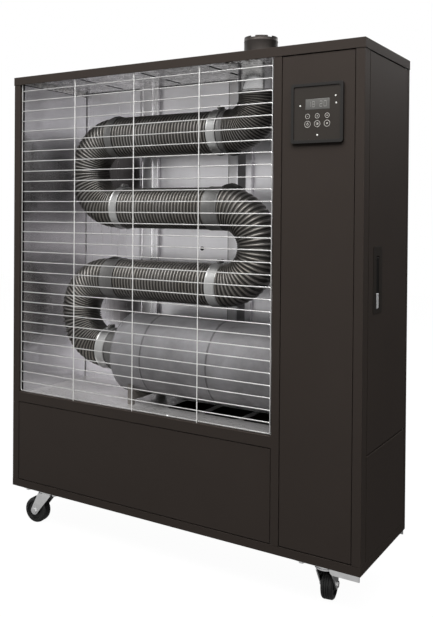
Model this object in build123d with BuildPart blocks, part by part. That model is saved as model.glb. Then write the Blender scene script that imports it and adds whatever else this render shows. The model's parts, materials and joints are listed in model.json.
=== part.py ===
"""Diesel radiant tube heater on castors, in millimetres.

The origin lies on the floor, under the middle of the whole part. +X runs to the control
column, +Y to the rear and +Z up. Depths are counted backwards from the front face, and
heights upwards from the underside of the cabinet.
"""

from build123d import *
import math
import os

os.makedirs("parts", exist_ok=True)

# Cabinet
cabinet_width = 940.0
cabinet_depth = 275.0
cabinet_height = 1040.0
sheet = 1.5
cap_overhang = 1.0
cap_lip = 20.0
base_lip = 18.0
seam = 1.5
fold = 12.0
panel_inset = 1.0
panel_lug = (4.0, 12.0)
panel_lug_insets = (27.0, 32.0)
left_strip = 19.5
right_strip = 19.0
column_panel_width = 159.0
mullion_width = 18.5
sill_rise = 5.0
sill_height = 24.0
side_post_depth = 28.0
rear_post_depth = 9.0
rear_panel_recess = 9.0
door_seam_height = 227.0
door_gap = 2.0
door_rear_gap = 3.5

# Rear vents and power inlet
vent_rows = 7
vent_pitch = 16.0
vent_length = 130.0
vent_width = 6.0
vent_drop = 160.0
vent_low_drop = 620.0
vent_chamber_inset = 219.5
vent_middle_inset = 232.5
vent_bay_inset = 94.0
inlet_inset = 89.0
inlet_height = 120.0
inlet_body = (28.0, 20.0)
inlet_body_depth = 18.0
inlet_flange = (46.0, 30.0)
inlet_flange_thickness = 3.0
inlet_corner = 4.0
inlet_socket = (24.0, 16.0)
inlet_socket_depth = 16.0
inlet_pin = (2.0, 5.0)
inlet_pin_length = 11.0
inlet_pin_places = ((-7.0, -2.0), (0.0, 2.0), (7.0, -2.0))

# Door hinge and latch
hinge_inset = 4.5
hinge_pin_radius = 2.0
pin_clearance = 0.3
pin_reach = 6.0
bracket_sheet = 1.5
bracket_reach = 34.0
bracket_leg = 16.0
bracket_overlap = 8.0
bracket_side_gap = 4.0
door_swing_gap = 3.0
latch_height = 134.0
latch_width = 50.0
latch_corner = 4.0
latch_centre_height = 569.0
latch_centre_depth = 80.5
latch_flange = 0.9
latch_overlap = 2.0
latch_body_gap = 0.5
latch_body_depth = 12.0
handle_rise = 46.5
handle_width = 14.0
handle_length = 73.0
handle_thickness = 8.0
handle_sink = 0.4
handle_pin_radius = 2.0
handle_pin_seat = 5.0
pocket_gap = 0.8
button_length = 31.0
button_corner = 2.0
button_back = 1.0
button_travel = 3.0
button_stem_radius = 3.0
guide_wall = 3.0
guide_half_width = 9.0
tongue_gap = 1.0
tongue_bite = 12.0
tongue_chamfer = 3.0
tongue_section = (8.0, 14.0)
tongue_travel = 13.0

# Radiant tube
tube_radius = 50.0
root_radius = 46.5
bore_radius = 45.5
rib_pitch = 9.0
lowest_pass_rise = 179.0
top_pass_drop = 141.0
left_bend_inset = 211.5
right_bend_inset = 191.5
lower_bend_inset = 183.5
elbow_inset = 176.0
elbow_radius = 75.0
elbow_rise = 21.0
elbow_lead = 7.5
left_ring_lead = 5.5
left_clamp_lead = 23.5
right_ring_lead = 16.0
right_clamp_lead = 12.0
lower_ring_lead = 30.0
lower_clamp_lead = 11.0
joint_gap = 0.6
band_thickness = 1.2
band_clearance = 0.3
clamp_width = 27.0
middle_clamp_width = 23.0
top_clamp_width = 24.0
clamp_screw = (10.0, 18.0, 9.0)
left_ring_width = 21.0
elbow_ring_width = 14.0
right_ring_width = 40.0
lower_ring_width = 40.0
tail_width = 20.0
tail_thickness = 2.0
left_tail_shift = 12.0

# Combustion drum
drum_front_gap = 36.5
drum_rail_gap = 9.5
drum_wall = 1.5
drum_left_inset = 259.5
drum_right_gap = 19.75
drum_deck_gap = 19.5
neck_length = 72.0
burner_neck_radius = 56.0
drum_flange = 16.0
drum_flange_thickness = 3.0
neck_hole_gap = 2.0
stand_inset = 50.0
stand_width = 14.0
stand_reach = 70.0
stand_wall = 10.0
stand_bridge = 8.0
stand_saddle = 40.0

# Reflectors
reflector_rear_gap = 24.0
reflector_sheet = 1.0
reflector_gap = 3.5
deck_rise = 9.0
ceiling_drop = 10.0
rail_width = 46.0
rail_height = 12.0
left_rail_inset = 236.5
right_rail_inset = 204.5
ceiling_slot = (70.0, 9.0)
ceiling_slot_pitch = (187.5, 97.0)
ceiling_slot_inset = 94.0
ceiling_slot_shift = 9.5
ceiling_slot_columns = 3
ceiling_slot_rows = 2
deck_opening = (88.0, 90.0)
deck_opening_corner = 6.0
deck_opening_pitch = 103.0
deck_opening_shift = 0.5
deck_openings = 3

# Guard
guard_depth = 8.0
guard_left_gap = 1.8
guard_right_gap = 5.5
guard_wire_radius = 1.5
guard_pitch = 25.43
guard_sill_gap = 3.5
guard_first_gap = 22.9
guard_top_gap = 9.0
guard_bays = 4
guard_corner = 4.0
guard_weld = 0.3
guard_tip = 3.0

# Flue
flue_radius = 38.0
flue_wall = 1.2
flue_height = 52.0
flue_tab_height = 3.0
flue_tabs = 6
flue_tab_gap = 9.0
flue_tab_turn = 30.0
flue_hole_gap = 2.0
flue_neck_step = 0.4
flue_neck_height = 1.0
flue_flange_radius = 50.0
collar_reach = 3.0
spigot_reach = 12.0
sleeve_overlap = 14.0
cone_start = 1.0
cone_margin = 2.5

# Burner
blast_radius = 40.0
blast_wall = 1.5
blast_flange = 6.0
blast_reach = 51.75
diffuser_inset = 20.0
diffuser_holes = 8
diffuser_hole_radius = 4.2
diffuser_hole_circle = 25.0
nozzle_radius = 9.0
nozzle_length = 30.0
electrode_radius = 1.5
electrode_length = 16.0
electrode_gap = 5.0
electrode_turn = 45.0
air_hole_radius = 9.0
air_hole_circle = 64.0
air_holes = 8
housing_radius = 85.0
housing_width = 52.0
housing_wall = 3.0
fan_radius = 60.0
fan_width = 30.0
fan_blades = 24
blade_depth = 12.0
blade_thickness = 1.5
blade_margin = 1.0
hub_radius = 12.0
shaft_radius = 4.0
shaft_reach = 40.0
motor_radius = 45.0
motor_length = 78.0
motor_flange = (52.0, 4.0)
motor_box = (34.0, 46.0, 14.0)
transformer = (50.0, 90.0, 80.0)
transformer_rise = 45.0
transformer_foot = 10.0
terminal_radius = 5.0
terminal_length = 12.0
terminal_pitch = 40.0

# Fuel
tank_left_gap = 39.0
tank_right_gap = 19.0
tank_front_depth = 18.0
tank_rear_gap = 36.0
tank_deck_gap = 36.0
tank_corner = 20.0
filler_inset = 69.0
filler_depth = 100.0
filler_radius = 24.0
filler_rise = 26.0
filler_wall = 1.5
filler_gap = 2.0
cap_radius = 30.0
cap_crown = 5.0
cap_skirt = 16.0
cap_grips = 18
cap_grip_radius = 2.0
fuel_pipe_radius = 3.0
fuel_bend_radius = 20.0
delivery_rise = 32.0
pump_partition_gap = 8.25
pump_housing_gap = 7.5
pump_radius = 14.0
pump_rise = 17.0
pump_length = 68.0
pump_bracket = (12.0, 20.0)

# Controls
bezel_width = 112.0
bezel_height = 119.0
bezel_drop = 140.0
bezel_proud = 4.0
bezel_corner = 5.0
bezel_overlap = 6.0
bezel_rim = 6.0
bezel_recess_corner = 3.0
bezel_recess = 2.0
bezel_face = 2.0
bezel_body_depth = 22.0
display_shift = (1.0, 17.5)
display_size = (52.0, 21.0)
display_lip = 2.0
lamp_radius = 1.5
lamp_shifts = ((-36.4, 15.6), (39.4, 31.9), (40.8, 17.5), (1.1, -43.8))
board_thickness = 1.6
board_post_radius = 3.0
board_posts = (84.0, 92.0)
board_size = (93.0, 100.0)
board_depth = 4.0
switch_size = 6.0
switch_clearance = 0.1
key_pitch = 21.0
upper_key_drop = 23.7
lower_key_drop = 39.2
upper_key_radius = 5.5
lower_key_radius = 7.0
key_clearance = 0.3
key_stand = 0.4
key_flange = 1.2
key_flange_thickness = 1.0
key_travel = 0.6

# Castors
castor_height = 92.0
castor_side_inset = 88.0
castor_inset = 38.0
castor_trail = 30.0
castor_angles = (187.0, 160.0, 99.0, 200.0)
castor_plate = (110.0, 64.0)
castor_plate_corner = 4.0
castor_plate_thickness = 3.0
castor_bolts = (88.0, 44.0)
castor_wing_width = 62.0
castor_wing_gap = 3.0
castor_wing_depth = (3.0, 40.0)
castor_wing_lip = 12.0
castor_wing_corner = 8.0
bolt_radius = 4.0
bolt_head_radius = 6.5
bolt_head_height = 5.0
race_radius = 21.0
race_height = 8.0
kingpin_radius = 5.0
wheel_radius = 31.5
wheel_width = 26.0
wheel_edge = 3.0
hub_recess = (12.0, 22.0)
hub_recess_depth = 4.0
fork_sheet = 2.5
fork_crown_radius = 23.0
fork_leg_gap = 1.0
fork_leg_top = 37.0
fork_foot_radius = 10.0
axle_radius = 4.0
axle_head = (7.0, 3.0)
running_gap = 0.3

# Places worked out from the sizes above
half_circle = 180.0
y_front = -(cabinet_depth - bezel_proud) / 2
z_base = castor_height
skin_right = cabinet_width / 2 - cap_overhang
skin_left = -skin_right
skin_front = cap_overhang
skin_rear = cabinet_depth - cap_overhang
column_right = skin_right - right_strip
column_left = column_right - column_panel_width
window_right = column_left - mullion_width
window_left = skin_left + left_strip
rear_panel_depth = skin_rear - rear_panel_recess
cap_underside = cabinet_height - cap_lip
partition_x = (window_right + column_left) / 2
deck_height = door_seam_height + deck_rise
sill_top = deck_height + sill_rise
ceiling_height = cabinet_height - ceiling_drop
reflector_depth = skin_rear - reflector_rear_gap
drum_rear = reflector_depth - rail_height - drum_rail_gap
drum_radius = (drum_rear - drum_front_gap) / 2
tube_depth = drum_front_gap + drum_radius
drum_height = deck_height + sheet + drum_deck_gap + drum_radius
drum_left_x = window_left + drum_left_inset
drum_right_x = partition_x - drum_right_gap
stand_x = drum_left_x + stand_inset
lowest_pass_height = drum_height + lowest_pass_rise
pass_spacing = (ceiling_height - top_pass_drop - lowest_pass_height) / 2
left_bend_x = window_left + left_bend_inset
lower_bend_x = window_left + lower_bend_inset
right_bend_x = window_right - right_bend_inset
left_rail_x = window_left + left_rail_inset
right_rail_x = window_right - right_rail_inset
elbow_x = window_right - elbow_inset
flue_x = elbow_x + elbow_radius
ceiling_slot_span = ceiling_slot_pitch[0] * (ceiling_slot_columns - 1)
ceiling_slot_centre = (
    flue_x - ceiling_slot_inset - ceiling_slot_span / 2,
    tube_depth + ceiling_slot_shift,
)
deck_opening_centre = (elbow_x, tube_depth + deck_opening_shift)
guard_left_x = window_left + guard_left_gap
guard_right_x = window_right - guard_right_gap
guard_bottom = sill_top + guard_sill_gap
guard_first = guard_bottom + guard_first_gap
guard_room = cabinet_height - guard_top_gap - guard_first
guard_wires = 2 + math.floor(guard_room / guard_pitch)
blast_left_x = partition_x - blast_reach
diffuser_x = blast_left_x + diffuser_inset
tank_left_x = skin_left + tank_left_gap
tank_right_x = skin_right - tank_right_gap
tank_rear_depth = skin_rear - tank_rear_gap
tank_top = deck_height - tank_deck_gap
filler_x = skin_right - filler_inset
filler_top = deck_height + filler_rise
pump_x = partition_x + pump_partition_gap + pump_radius
pump_depth = tube_depth + housing_radius + pump_housing_gap
pump_bottom = drum_height + housing_radius + pump_rise
pump_top = pump_bottom + pump_length
transformer_height = pump_top + delivery_rise + transformer_rise
vent_places = (
    (window_left + vent_chamber_inset, cabinet_height - vent_drop),
    (window_right - vent_middle_inset, cabinet_height - vent_drop),
    (skin_right - vent_bay_inset, cabinet_height - vent_drop),
    (skin_right - vent_bay_inset, cabinet_height - vent_low_drop),
)
inlet_x = skin_right - inlet_inset
bezel_x = (column_left + column_right) / 2
bezel_centre_height = cabinet_height - bezel_drop
display_x = bezel_x + display_shift[0]
display_height = bezel_centre_height + display_shift[1]
lamp_places = [(bezel_x + across, bezel_centre_height + up) for across, up in lamp_shifts]
key_x = (display_x - key_pitch, display_x, display_x + key_pitch)
upper_key_height = display_height - upper_key_drop
lower_key_height = display_height - lower_key_drop
castor_x = cabinet_width / 2 - castor_side_inset
castor_wing_right = skin_right - castor_wing_gap
castor_wing_x = (castor_wing_right - castor_wing_width, castor_wing_right)


def place(x, depth, height):
    """Turn a place on the cabinet into a point of the part's frame."""
    return (x, y_front + depth, z_base + height)


def block(x_span, depth_span, height_span, mode=Mode.ADD):
    """Add or cut a square-edged block between pairs of limits."""
    centre = place(sum(x_span) / 2, sum(depth_span) / 2, height_span[0])
    with BuildSketch(Plane(origin=centre)) as profile:
        Rectangle(abs(x_span[1] - x_span[0]), abs(depth_span[1] - depth_span[0]))
    extrude(profile.sketch, amount=height_span[1] - height_span[0], mode=mode)


def rod(start, direction, radius, length, mode=Mode.ADD):
    """Add or cut a round bar that leaves a place in a given direction."""
    with BuildSketch(Plane(origin=place(*start), z_dir=direction)) as profile:
        Circle(radius)
    extrude(profile.sketch, amount=length, mode=mode)


def tube(start, direction, outer_radius, inner_radius, length):
    """Add a plain tube that leaves a place in a given direction."""
    with BuildSketch(Plane(origin=place(*start), z_dir=direction)) as profile:
        Circle(outer_radius)
        Circle(inner_radius, mode=Mode.SUBTRACT)
    extrude(profile.sketch, amount=length)


def front_plane(x, height, depth):
    """A plane that faces the front, with its own y axis pointing up."""
    return Plane(origin=place(x, depth, height), x_dir=(1, 0, 0), z_dir=(0, -1, 0))


def side_plane(depth, height, x):
    """A plane that faces the right, with its own y axis pointing up."""
    return Plane(origin=place(x, depth, height), x_dir=(0, 1, 0), z_dir=(1, 0, 0))


def rear_plane(x, height, depth):
    """A plane that faces the rear, with its own y axis pointing up."""
    return Plane(origin=place(x, depth, height), x_dir=(-1, 0, 0), z_dir=(0, 1, 0))


def folded_panel(face, width, height, fold_depth):
    """Add a sheet panel whose four edges are folded back."""
    with BuildSketch(face) as outline:
        Rectangle(width, height)
    extrude(outline.sketch, amount=-fold_depth)
    with BuildSketch(face.offset(-sheet)) as inside:
        Rectangle(width - 2 * sheet, height - 2 * sheet)
    extrude(inside.sketch, amount=-fold_depth, mode=Mode.SUBTRACT)


def finish(part, name):
    """Name a finished piece and write it."""
    part.label = name
    export_step(part, f"parts/{name}.step")


# Cabinet shell

with BuildPart() as top_cover:
    block(
        (-cabinet_width / 2, cabinet_width / 2),
        (0, cabinet_depth),
        (cap_underside, cabinet_height),
    )
    block(
        (-cabinet_width / 2 + sheet, cabinet_width / 2 - sheet),
        (sheet, cabinet_depth - sheet),
        (cap_underside, cabinet_height - sheet),
        Mode.SUBTRACT,
    )
    rod(
        (flue_x, tube_depth, cap_underside),
        (0, 0, 1),
        flue_radius + running_gap,
        cap_lip,
        Mode.SUBTRACT,
    )
finish(top_cover.part, "top_cover")

with BuildPart() as base_pan:
    block((skin_left, skin_right), (skin_front, skin_rear), (0, base_lip))
    block(
        (skin_left + sheet, skin_right - sheet),
        (skin_front + sheet, skin_rear - sheet),
        (sheet, base_lip),
        Mode.SUBTRACT,
    )
    with BuildSketch(Plane(origin=place(0, cabinet_depth / 2, 0))) as bolt_holes:
        with GridLocations(2 * castor_x, cabinet_depth - 2 * castor_inset, 2, 2):
            with GridLocations(castor_bolts[0], castor_bolts[1], 2, 2):
                Circle(bolt_radius + running_gap)
    extrude(amount=sheet, mode=Mode.SUBTRACT)
finish(base_pan.part, "base_pan")

with BuildPart() as left_side_panel:
    left_fold = skin_front + fold
    block((skin_left, skin_left + sheet), (skin_front, skin_rear), (base_lip, cap_underside))
    block(
        (skin_left + sheet, window_left),
        (skin_front, skin_front + sheet),
        (base_lip, cap_underside),
    )
    block(
        (window_left - sheet, window_left),
        (skin_front + sheet, left_fold),
        (base_lip, cap_underside),
    )
    block(
        (skin_left + sheet, skin_left + left_strip),
        (skin_rear - sheet, skin_rear),
        (base_lip, cap_underside),
    )
finish(left_side_panel.part, "left_side_panel")

with BuildPart() as right_front_post:
    block((column_right, skin_right), (skin_front, skin_front + sheet), (base_lip, cap_underside))
    block(
        (skin_right - sheet, skin_right),
        (skin_front + sheet, side_post_depth),
        (base_lip, cap_underside),
    )
    block(
        (column_right, column_right + sheet),
        (skin_front + sheet, skin_front + fold),
        (base_lip, cap_underside),
    )
    block(
        (skin_right - fold, skin_right - sheet),
        (side_post_depth - sheet, side_post_depth),
        (base_lip, cap_underside),
    )
finish(right_front_post.part, "right_front_post")

with BuildPart() as window_frame:
    block((window_right, column_left), (skin_front, skin_front + sheet), (base_lip, cap_underside))
    for inner, outer in (
        (window_right, window_right + sheet),
        (column_left - sheet, column_left),
    ):
        block(
            (inner, outer),
            (skin_front + sheet, skin_front + fold),
            (base_lip, cap_underside),
        )
    sill_bottom = sill_top - sill_height
    block(
        (window_left, window_right),
        (skin_front, skin_front + sheet),
        (sill_bottom, sill_top),
    )
    for low, high in ((sill_bottom, sill_bottom + sheet), (sill_top - sheet, sill_top)):
        block(
            (window_left, window_right),
            (skin_front + sheet, skin_front + fold),
            (low, high),
        )
finish(window_frame.part, "window_frame")

with BuildPart() as lower_front_panel:
    lower_width = window_right - window_left - 2 * seam
    lower_height = sill_bottom - base_lip - 2 * seam
    folded_panel(
        front_plane(
            (window_left + window_right) / 2,
            (base_lip + sill_bottom) / 2,
            skin_front + panel_inset,
        ),
        lower_width,
        lower_height,
        fold - panel_inset,
    )
    for lug_x in ((window_left, window_left + seam), (window_right - seam, window_right)):
        for lug_height in (base_lip + panel_lug_insets[0], sill_bottom - panel_lug_insets[1]):
            block(
                lug_x,
                (skin_front + fold - panel_lug[0], skin_front + fold),
                (lug_height, lug_height + panel_lug[1]),
            )
finish(lower_front_panel.part, "lower_front_panel")

bezel_body = (bezel_width - 2 * bezel_overlap, bezel_height - 2 * bezel_overlap)
column_face_depth = skin_front + panel_inset

with BuildPart() as control_column_panel:
    folded_panel(
        front_plane(
            (column_left + column_right) / 2,
            (base_lip + cap_underside) / 2,
            column_face_depth,
        ),
        column_panel_width - 2 * seam,
        cap_underside - base_lip - 2 * seam,
        fold - panel_inset,
    )
    with BuildSketch(front_plane(bezel_x, bezel_centre_height, column_face_depth)):
        Rectangle(bezel_body[0] + 2 * running_gap, bezel_body[1] + 2 * running_gap)
    extrude(amount=-sheet, mode=Mode.SUBTRACT)
finish(control_column_panel.part, "control_column_panel")

side_panel_rear = skin_rear - rear_post_depth - door_rear_gap
with BuildPart() as side_lower_panel:
    folded_panel(
        side_plane(
            (side_post_depth + door_gap + side_panel_rear) / 2,
            (base_lip + door_seam_height - seam) / 2,
            skin_right,
        ),
        side_panel_rear - side_post_depth - door_gap,
        door_seam_height - seam - base_lip,
        fold,
    )
finish(side_lower_panel.part, "side_lower_panel")

with BuildPart() as rear_panel:
    block(
        (skin_left + sheet, skin_right - sheet),
        (rear_panel_depth - sheet, rear_panel_depth),
        (base_lip, cap_underside),
    )
    block(
        (skin_right - sheet, skin_right),
        (skin_rear - rear_post_depth - sheet, skin_rear),
        (base_lip, cap_underside),
    )
    block(
        (skin_right - left_strip, skin_right - sheet),
        (skin_rear - sheet, skin_rear),
        (base_lip, cap_underside),
    )
    for vent_x, vent_height in vent_places:
        with BuildSketch(rear_plane(vent_x, vent_height, rear_panel_depth)):
            with GridLocations(0, vent_pitch, 1, vent_rows):
                SlotOverall(vent_length, vent_width)
        extrude(amount=-sheet, mode=Mode.SUBTRACT)
    inlet_face = rear_plane(inlet_x, inlet_height, rear_panel_depth)
    with BuildSketch(inlet_face):
        Rectangle(inlet_body[0] + 2 * running_gap, inlet_body[1] + 2 * running_gap)
    extrude(amount=-sheet, mode=Mode.SUBTRACT)
finish(rear_panel.part, "rear_panel")

with BuildPart() as power_inlet:
    with BuildSketch(inlet_face):
        RectangleRounded(*inlet_flange, inlet_corner)
    extrude(amount=inlet_flange_thickness)
    with BuildSketch(inlet_face):
        Rectangle(*inlet_body)
    extrude(amount=-inlet_body_depth)
    with BuildSketch(inlet_face.offset(inlet_flange_thickness)):
        Rectangle(*inlet_socket)
    extrude(amount=-inlet_socket_depth, mode=Mode.SUBTRACT)
    socket_floor = inlet_flange_thickness - inlet_socket_depth
    with BuildSketch(inlet_face.offset(socket_floor)):
        with Locations(*inlet_pin_places):
            Rectangle(*inlet_pin)
    extrude(amount=inlet_pin_length)
finish(power_inlet.part, "power_inlet")

# Burner door, its hinge pins and its latch

hinge_depth = side_panel_rear - hinge_inset
hinge_x = skin_right - hinge_inset
door_front = side_post_depth + door_gap
door_top = cap_underside - door_gap
door_bottom = door_seam_height + door_gap
latch_face = side_plane(latch_centre_depth, latch_centre_height, skin_right)

with BuildPart() as burner_door:
    folded_panel(
        side_plane((door_front + side_panel_rear) / 2, (door_bottom + door_top) / 2, skin_right),
        side_panel_rear - door_front,
        door_top - door_bottom,
        fold,
    )
    for height in (door_bottom, door_top - sheet):
        rod(
            (hinge_x, hinge_depth, height),
            (0, 0, 1),
            hinge_pin_radius + pin_clearance,
            sheet,
            Mode.SUBTRACT,
        )
    with BuildSketch(latch_face):
        Rectangle(latch_width - 2 * latch_overlap, latch_height - 2 * latch_overlap)
    extrude(amount=-sheet, mode=Mode.SUBTRACT)
finish(burner_door.part, "burner_door")

with BuildPart() as door_hinge_pins:
    bracket_x = (skin_right - bracket_reach, skin_right - sheet)
    bracket_depth = (hinge_depth - bracket_overlap, rear_panel_depth - sheet)
    for door_edge, outward in ((door_top, 1), (door_bottom, -1)):
        bearing = door_edge + outward * running_gap
        outer_face = bearing + outward * bracket_sheet
        block(bracket_x, bracket_depth, sorted((bearing, outer_face)))
        block(
            (bracket_x[0], skin_right - fold - bracket_side_gap),
            (bracket_depth[1] - bracket_sheet, bracket_depth[1]),
            sorted((outer_face, bearing - outward * bracket_leg)),
        )
        rod((hinge_x, hinge_depth, bearing), (0, 0, -outward), hinge_pin_radius, pin_reach)
finish(door_hinge_pins.part, "door_hinge_pins")

handle_top = latch_centre_height + handle_rise
handle_pivot_height = handle_top - handle_thickness / 2
handle_outer = skin_right + latch_flange - handle_sink
handle_pivot_x = handle_outer - handle_thickness / 2
button_top = handle_top - handle_length - pocket_gap
button_bottom = button_top - button_length

with BuildPart() as latch_housing:
    with BuildSketch(latch_face):
        RectangleRounded(latch_width, latch_height, latch_corner)
    extrude(amount=latch_flange)
    latch_inset = 2 * (latch_overlap + latch_body_gap)
    with BuildSketch(latch_face):
        Rectangle(latch_width - latch_inset, latch_height - latch_inset)
    extrude(amount=-latch_body_depth)
    pin_half_length = handle_width / 2 + handle_pin_seat
    pocket_bottom = button_bottom - pocket_gap
    pocket_top = handle_top + pocket_gap
    pocket_height = (pocket_bottom + pocket_top) / 2
    with BuildSketch(side_plane(latch_centre_depth, pocket_height, skin_right + latch_flange)):
        Rectangle(handle_width + 2 * pocket_gap, pocket_top - pocket_bottom)
    extrude(amount=-(latch_body_depth + latch_flange - sheet), mode=Mode.SUBTRACT)
    guide_back = skin_right - latch_body_depth
    guide_depth = (latch_centre_depth - guide_half_width, latch_centre_depth + guide_half_width)
    tongue_x = (guide_back - tongue_gap - tongue_section[0], guide_back - tongue_gap)
    tongue_half = tongue_section[1] / 2
    block(
        (tongue_x[0] - running_gap - guide_wall, guide_back),
        guide_depth,
        (
            latch_centre_height - tongue_half - running_gap - guide_wall,
            latch_centre_height + tongue_half + running_gap + guide_wall,
        ),
    )
    block(
        (tongue_x[0] - running_gap, tongue_x[1] + running_gap),
        guide_depth,
        (
            latch_centre_height - tongue_half - running_gap,
            latch_centre_height + tongue_half + running_gap,
        ),
        Mode.SUBTRACT,
    )
    rod(
        (handle_pivot_x, latch_centre_depth - pin_half_length - running_gap, handle_pivot_height),
        (0, 1, 0),
        handle_pin_radius + running_gap,
        2 * (pin_half_length + running_gap),
        Mode.SUBTRACT,
    )
    stem_place = (handle_outer - button_travel, latch_centre_depth, (button_top + button_bottom) / 2)
    rod(
        stem_place,
        (-1, 0, 0),
        button_stem_radius + running_gap,
        latch_body_depth,
        Mode.SUBTRACT,
    )
finish(latch_housing.part, "latch_housing")

with BuildPart() as latch_handle:
    handle_edge = latch_centre_depth - handle_width / 2
    handle_profile = Plane(
        origin=place(handle_pivot_x, handle_edge, handle_pivot_height),
        x_dir=(1, 0, 0),
        z_dir=(0, 1, 0),
    )
    half_thickness = handle_thickness / 2
    with BuildSketch(handle_profile):
        Circle(half_thickness)
        with Locations((0, (handle_length - half_thickness) / 2)):
            Rectangle(handle_thickness, handle_length - half_thickness)
    extrude(amount=handle_width)
    rod(
        (handle_pivot_x, latch_centre_depth - pin_half_length, handle_pivot_height),
        (0, 1, 0),
        handle_pin_radius,
        2 * pin_half_length,
    )
finish(latch_handle.part, "latch_handle")

with BuildPart() as latch_button:
    button_face = side_plane(
        latch_centre_depth,
        (button_top + button_bottom) / 2,
        handle_outer - half_thickness - button_back,
    )
    with BuildSketch(button_face):
        RectangleRounded(handle_width, button_length, button_corner)
    extrude(amount=half_thickness + button_back)
    rod(stem_place, (-1, 0, 0), button_stem_radius, latch_body_depth)
finish(latch_button.part, "latch_button")

with BuildPart() as latch_tongue:
    block(
        tongue_x,
        (side_post_depth - tongue_bite, latch_centre_depth + tongue_bite),
        (latch_centre_height - tongue_half, latch_centre_height + tongue_half),
    )
    chamfer(
        latch_tongue.faces().sort_by(Axis.Y)[0].edges().sort_by(Axis.X)[-1],
        tongue_chamfer,
    )
finish(latch_tongue.part, "latch_tongue")

# Heating chamber

with BuildPart() as rear_reflector:
    inside_left = window_left + reflector_gap
    block(
        (inside_left, partition_x - reflector_sheet),
        (reflector_depth, reflector_depth + reflector_sheet),
        (deck_height + sheet, ceiling_height),
    )
    block(
        (inside_left, inside_left + reflector_sheet),
        (skin_front + fold, reflector_depth),
        (deck_height + sheet, ceiling_height),
    )
    for rail_x in (left_rail_x, right_rail_x):
        block(
            (rail_x - rail_width / 2, rail_x + rail_width / 2),
            (reflector_depth - rail_height, reflector_depth),
            (deck_height + sheet, ceiling_height),
        )
        block(
            (rail_x - rail_width / 2 + sheet, rail_x + rail_width / 2 - sheet),
            (reflector_depth - rail_height + sheet, reflector_depth + reflector_sheet),
            (deck_height + sheet, ceiling_height),
            Mode.SUBTRACT,
        )
finish(rear_reflector.part, "rear_reflector")

with BuildPart() as top_reflector:
    block(
        (inside_left, partition_x - reflector_sheet),
        (skin_front + fold, rear_panel_depth - sheet),
        (ceiling_height, ceiling_height + reflector_sheet),
    )
    rod(
        (flue_x, tube_depth, ceiling_height),
        (0, 0, 1),
        tube_radius + flue_hole_gap,
        reflector_sheet,
        Mode.SUBTRACT,
    )
    with BuildSketch(Plane(origin=place(*ceiling_slot_centre, ceiling_height))):
        with GridLocations(*ceiling_slot_pitch, ceiling_slot_columns, ceiling_slot_rows):
            SlotOverall(*ceiling_slot, rotation=90)
    extrude(amount=reflector_sheet, mode=Mode.SUBTRACT)
finish(top_reflector.part, "top_reflector")

with BuildPart() as floor_deck:
    deck_right = skin_right - fold - door_swing_gap
    block(
        (skin_left + sheet, deck_right),
        (skin_front + fold, rear_panel_depth - sheet),
        (deck_height, deck_height + sheet),
    )
    rod(
        (filler_x, filler_depth, deck_height),
        (0, 0, 1),
        filler_radius + filler_gap,
        sheet,
        Mode.SUBTRACT,
    )
    rod(
        (pump_x, pump_depth, deck_height),
        (0, 0, 1),
        fuel_pipe_radius + 1,
        sheet,
        Mode.SUBTRACT,
    )
    with BuildSketch(Plane(origin=place(*deck_opening_centre, deck_height))):
        with GridLocations(deck_opening_pitch, 1, deck_openings, 1):
            RectangleRounded(*deck_opening, deck_opening_corner)
    extrude(amount=sheet, mode=Mode.SUBTRACT)
    block(
        (bracket_x[0] - running_gap, deck_right),
        (bracket_depth[1] - bracket_sheet - running_gap, bracket_depth[1]),
        (deck_height, deck_height + sheet),
        Mode.SUBTRACT,
    )
    stand_span = (stand_x - stand_width / 2, stand_x + stand_width / 2)
    block(
        stand_span,
        (tube_depth - stand_reach, tube_depth + stand_reach),
        (deck_height + sheet, drum_height - stand_saddle),
    )
    block(
        stand_span,
        (tube_depth - stand_reach + stand_wall, tube_depth + stand_reach - stand_wall),
        (deck_height + sheet, drum_height - drum_radius - stand_bridge),
        Mode.SUBTRACT,
    )
    rod(
        (drum_left_x, tube_depth, drum_height),
        (1, 0, 0),
        drum_radius + running_gap,
        drum_right_x - drum_left_x,
        Mode.SUBTRACT,
    )
finish(floor_deck.part, "floor_deck")

with BuildPart() as partition_wall:
    block(
        (partition_x - reflector_sheet, partition_x),
        (skin_front + sheet, rear_panel_depth - sheet),
        (deck_height + sheet, cabinet_height - sheet),
    )
    rod(
        (partition_x - reflector_sheet, tube_depth, drum_height),
        (1, 0, 0),
        burner_neck_radius + neck_hole_gap,
        reflector_sheet,
        Mode.SUBTRACT,
    )
finish(partition_wall.part, "partition_wall")

# Combustion drum and radiant tube

neck_radius = bore_radius - running_gap
lower_clamp_x = lower_bend_x + lower_clamp_lead
neck_step_x = lower_clamp_x + joint_gap
drum_flange_x = partition_x - reflector_sheet - drum_flange_thickness

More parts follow.
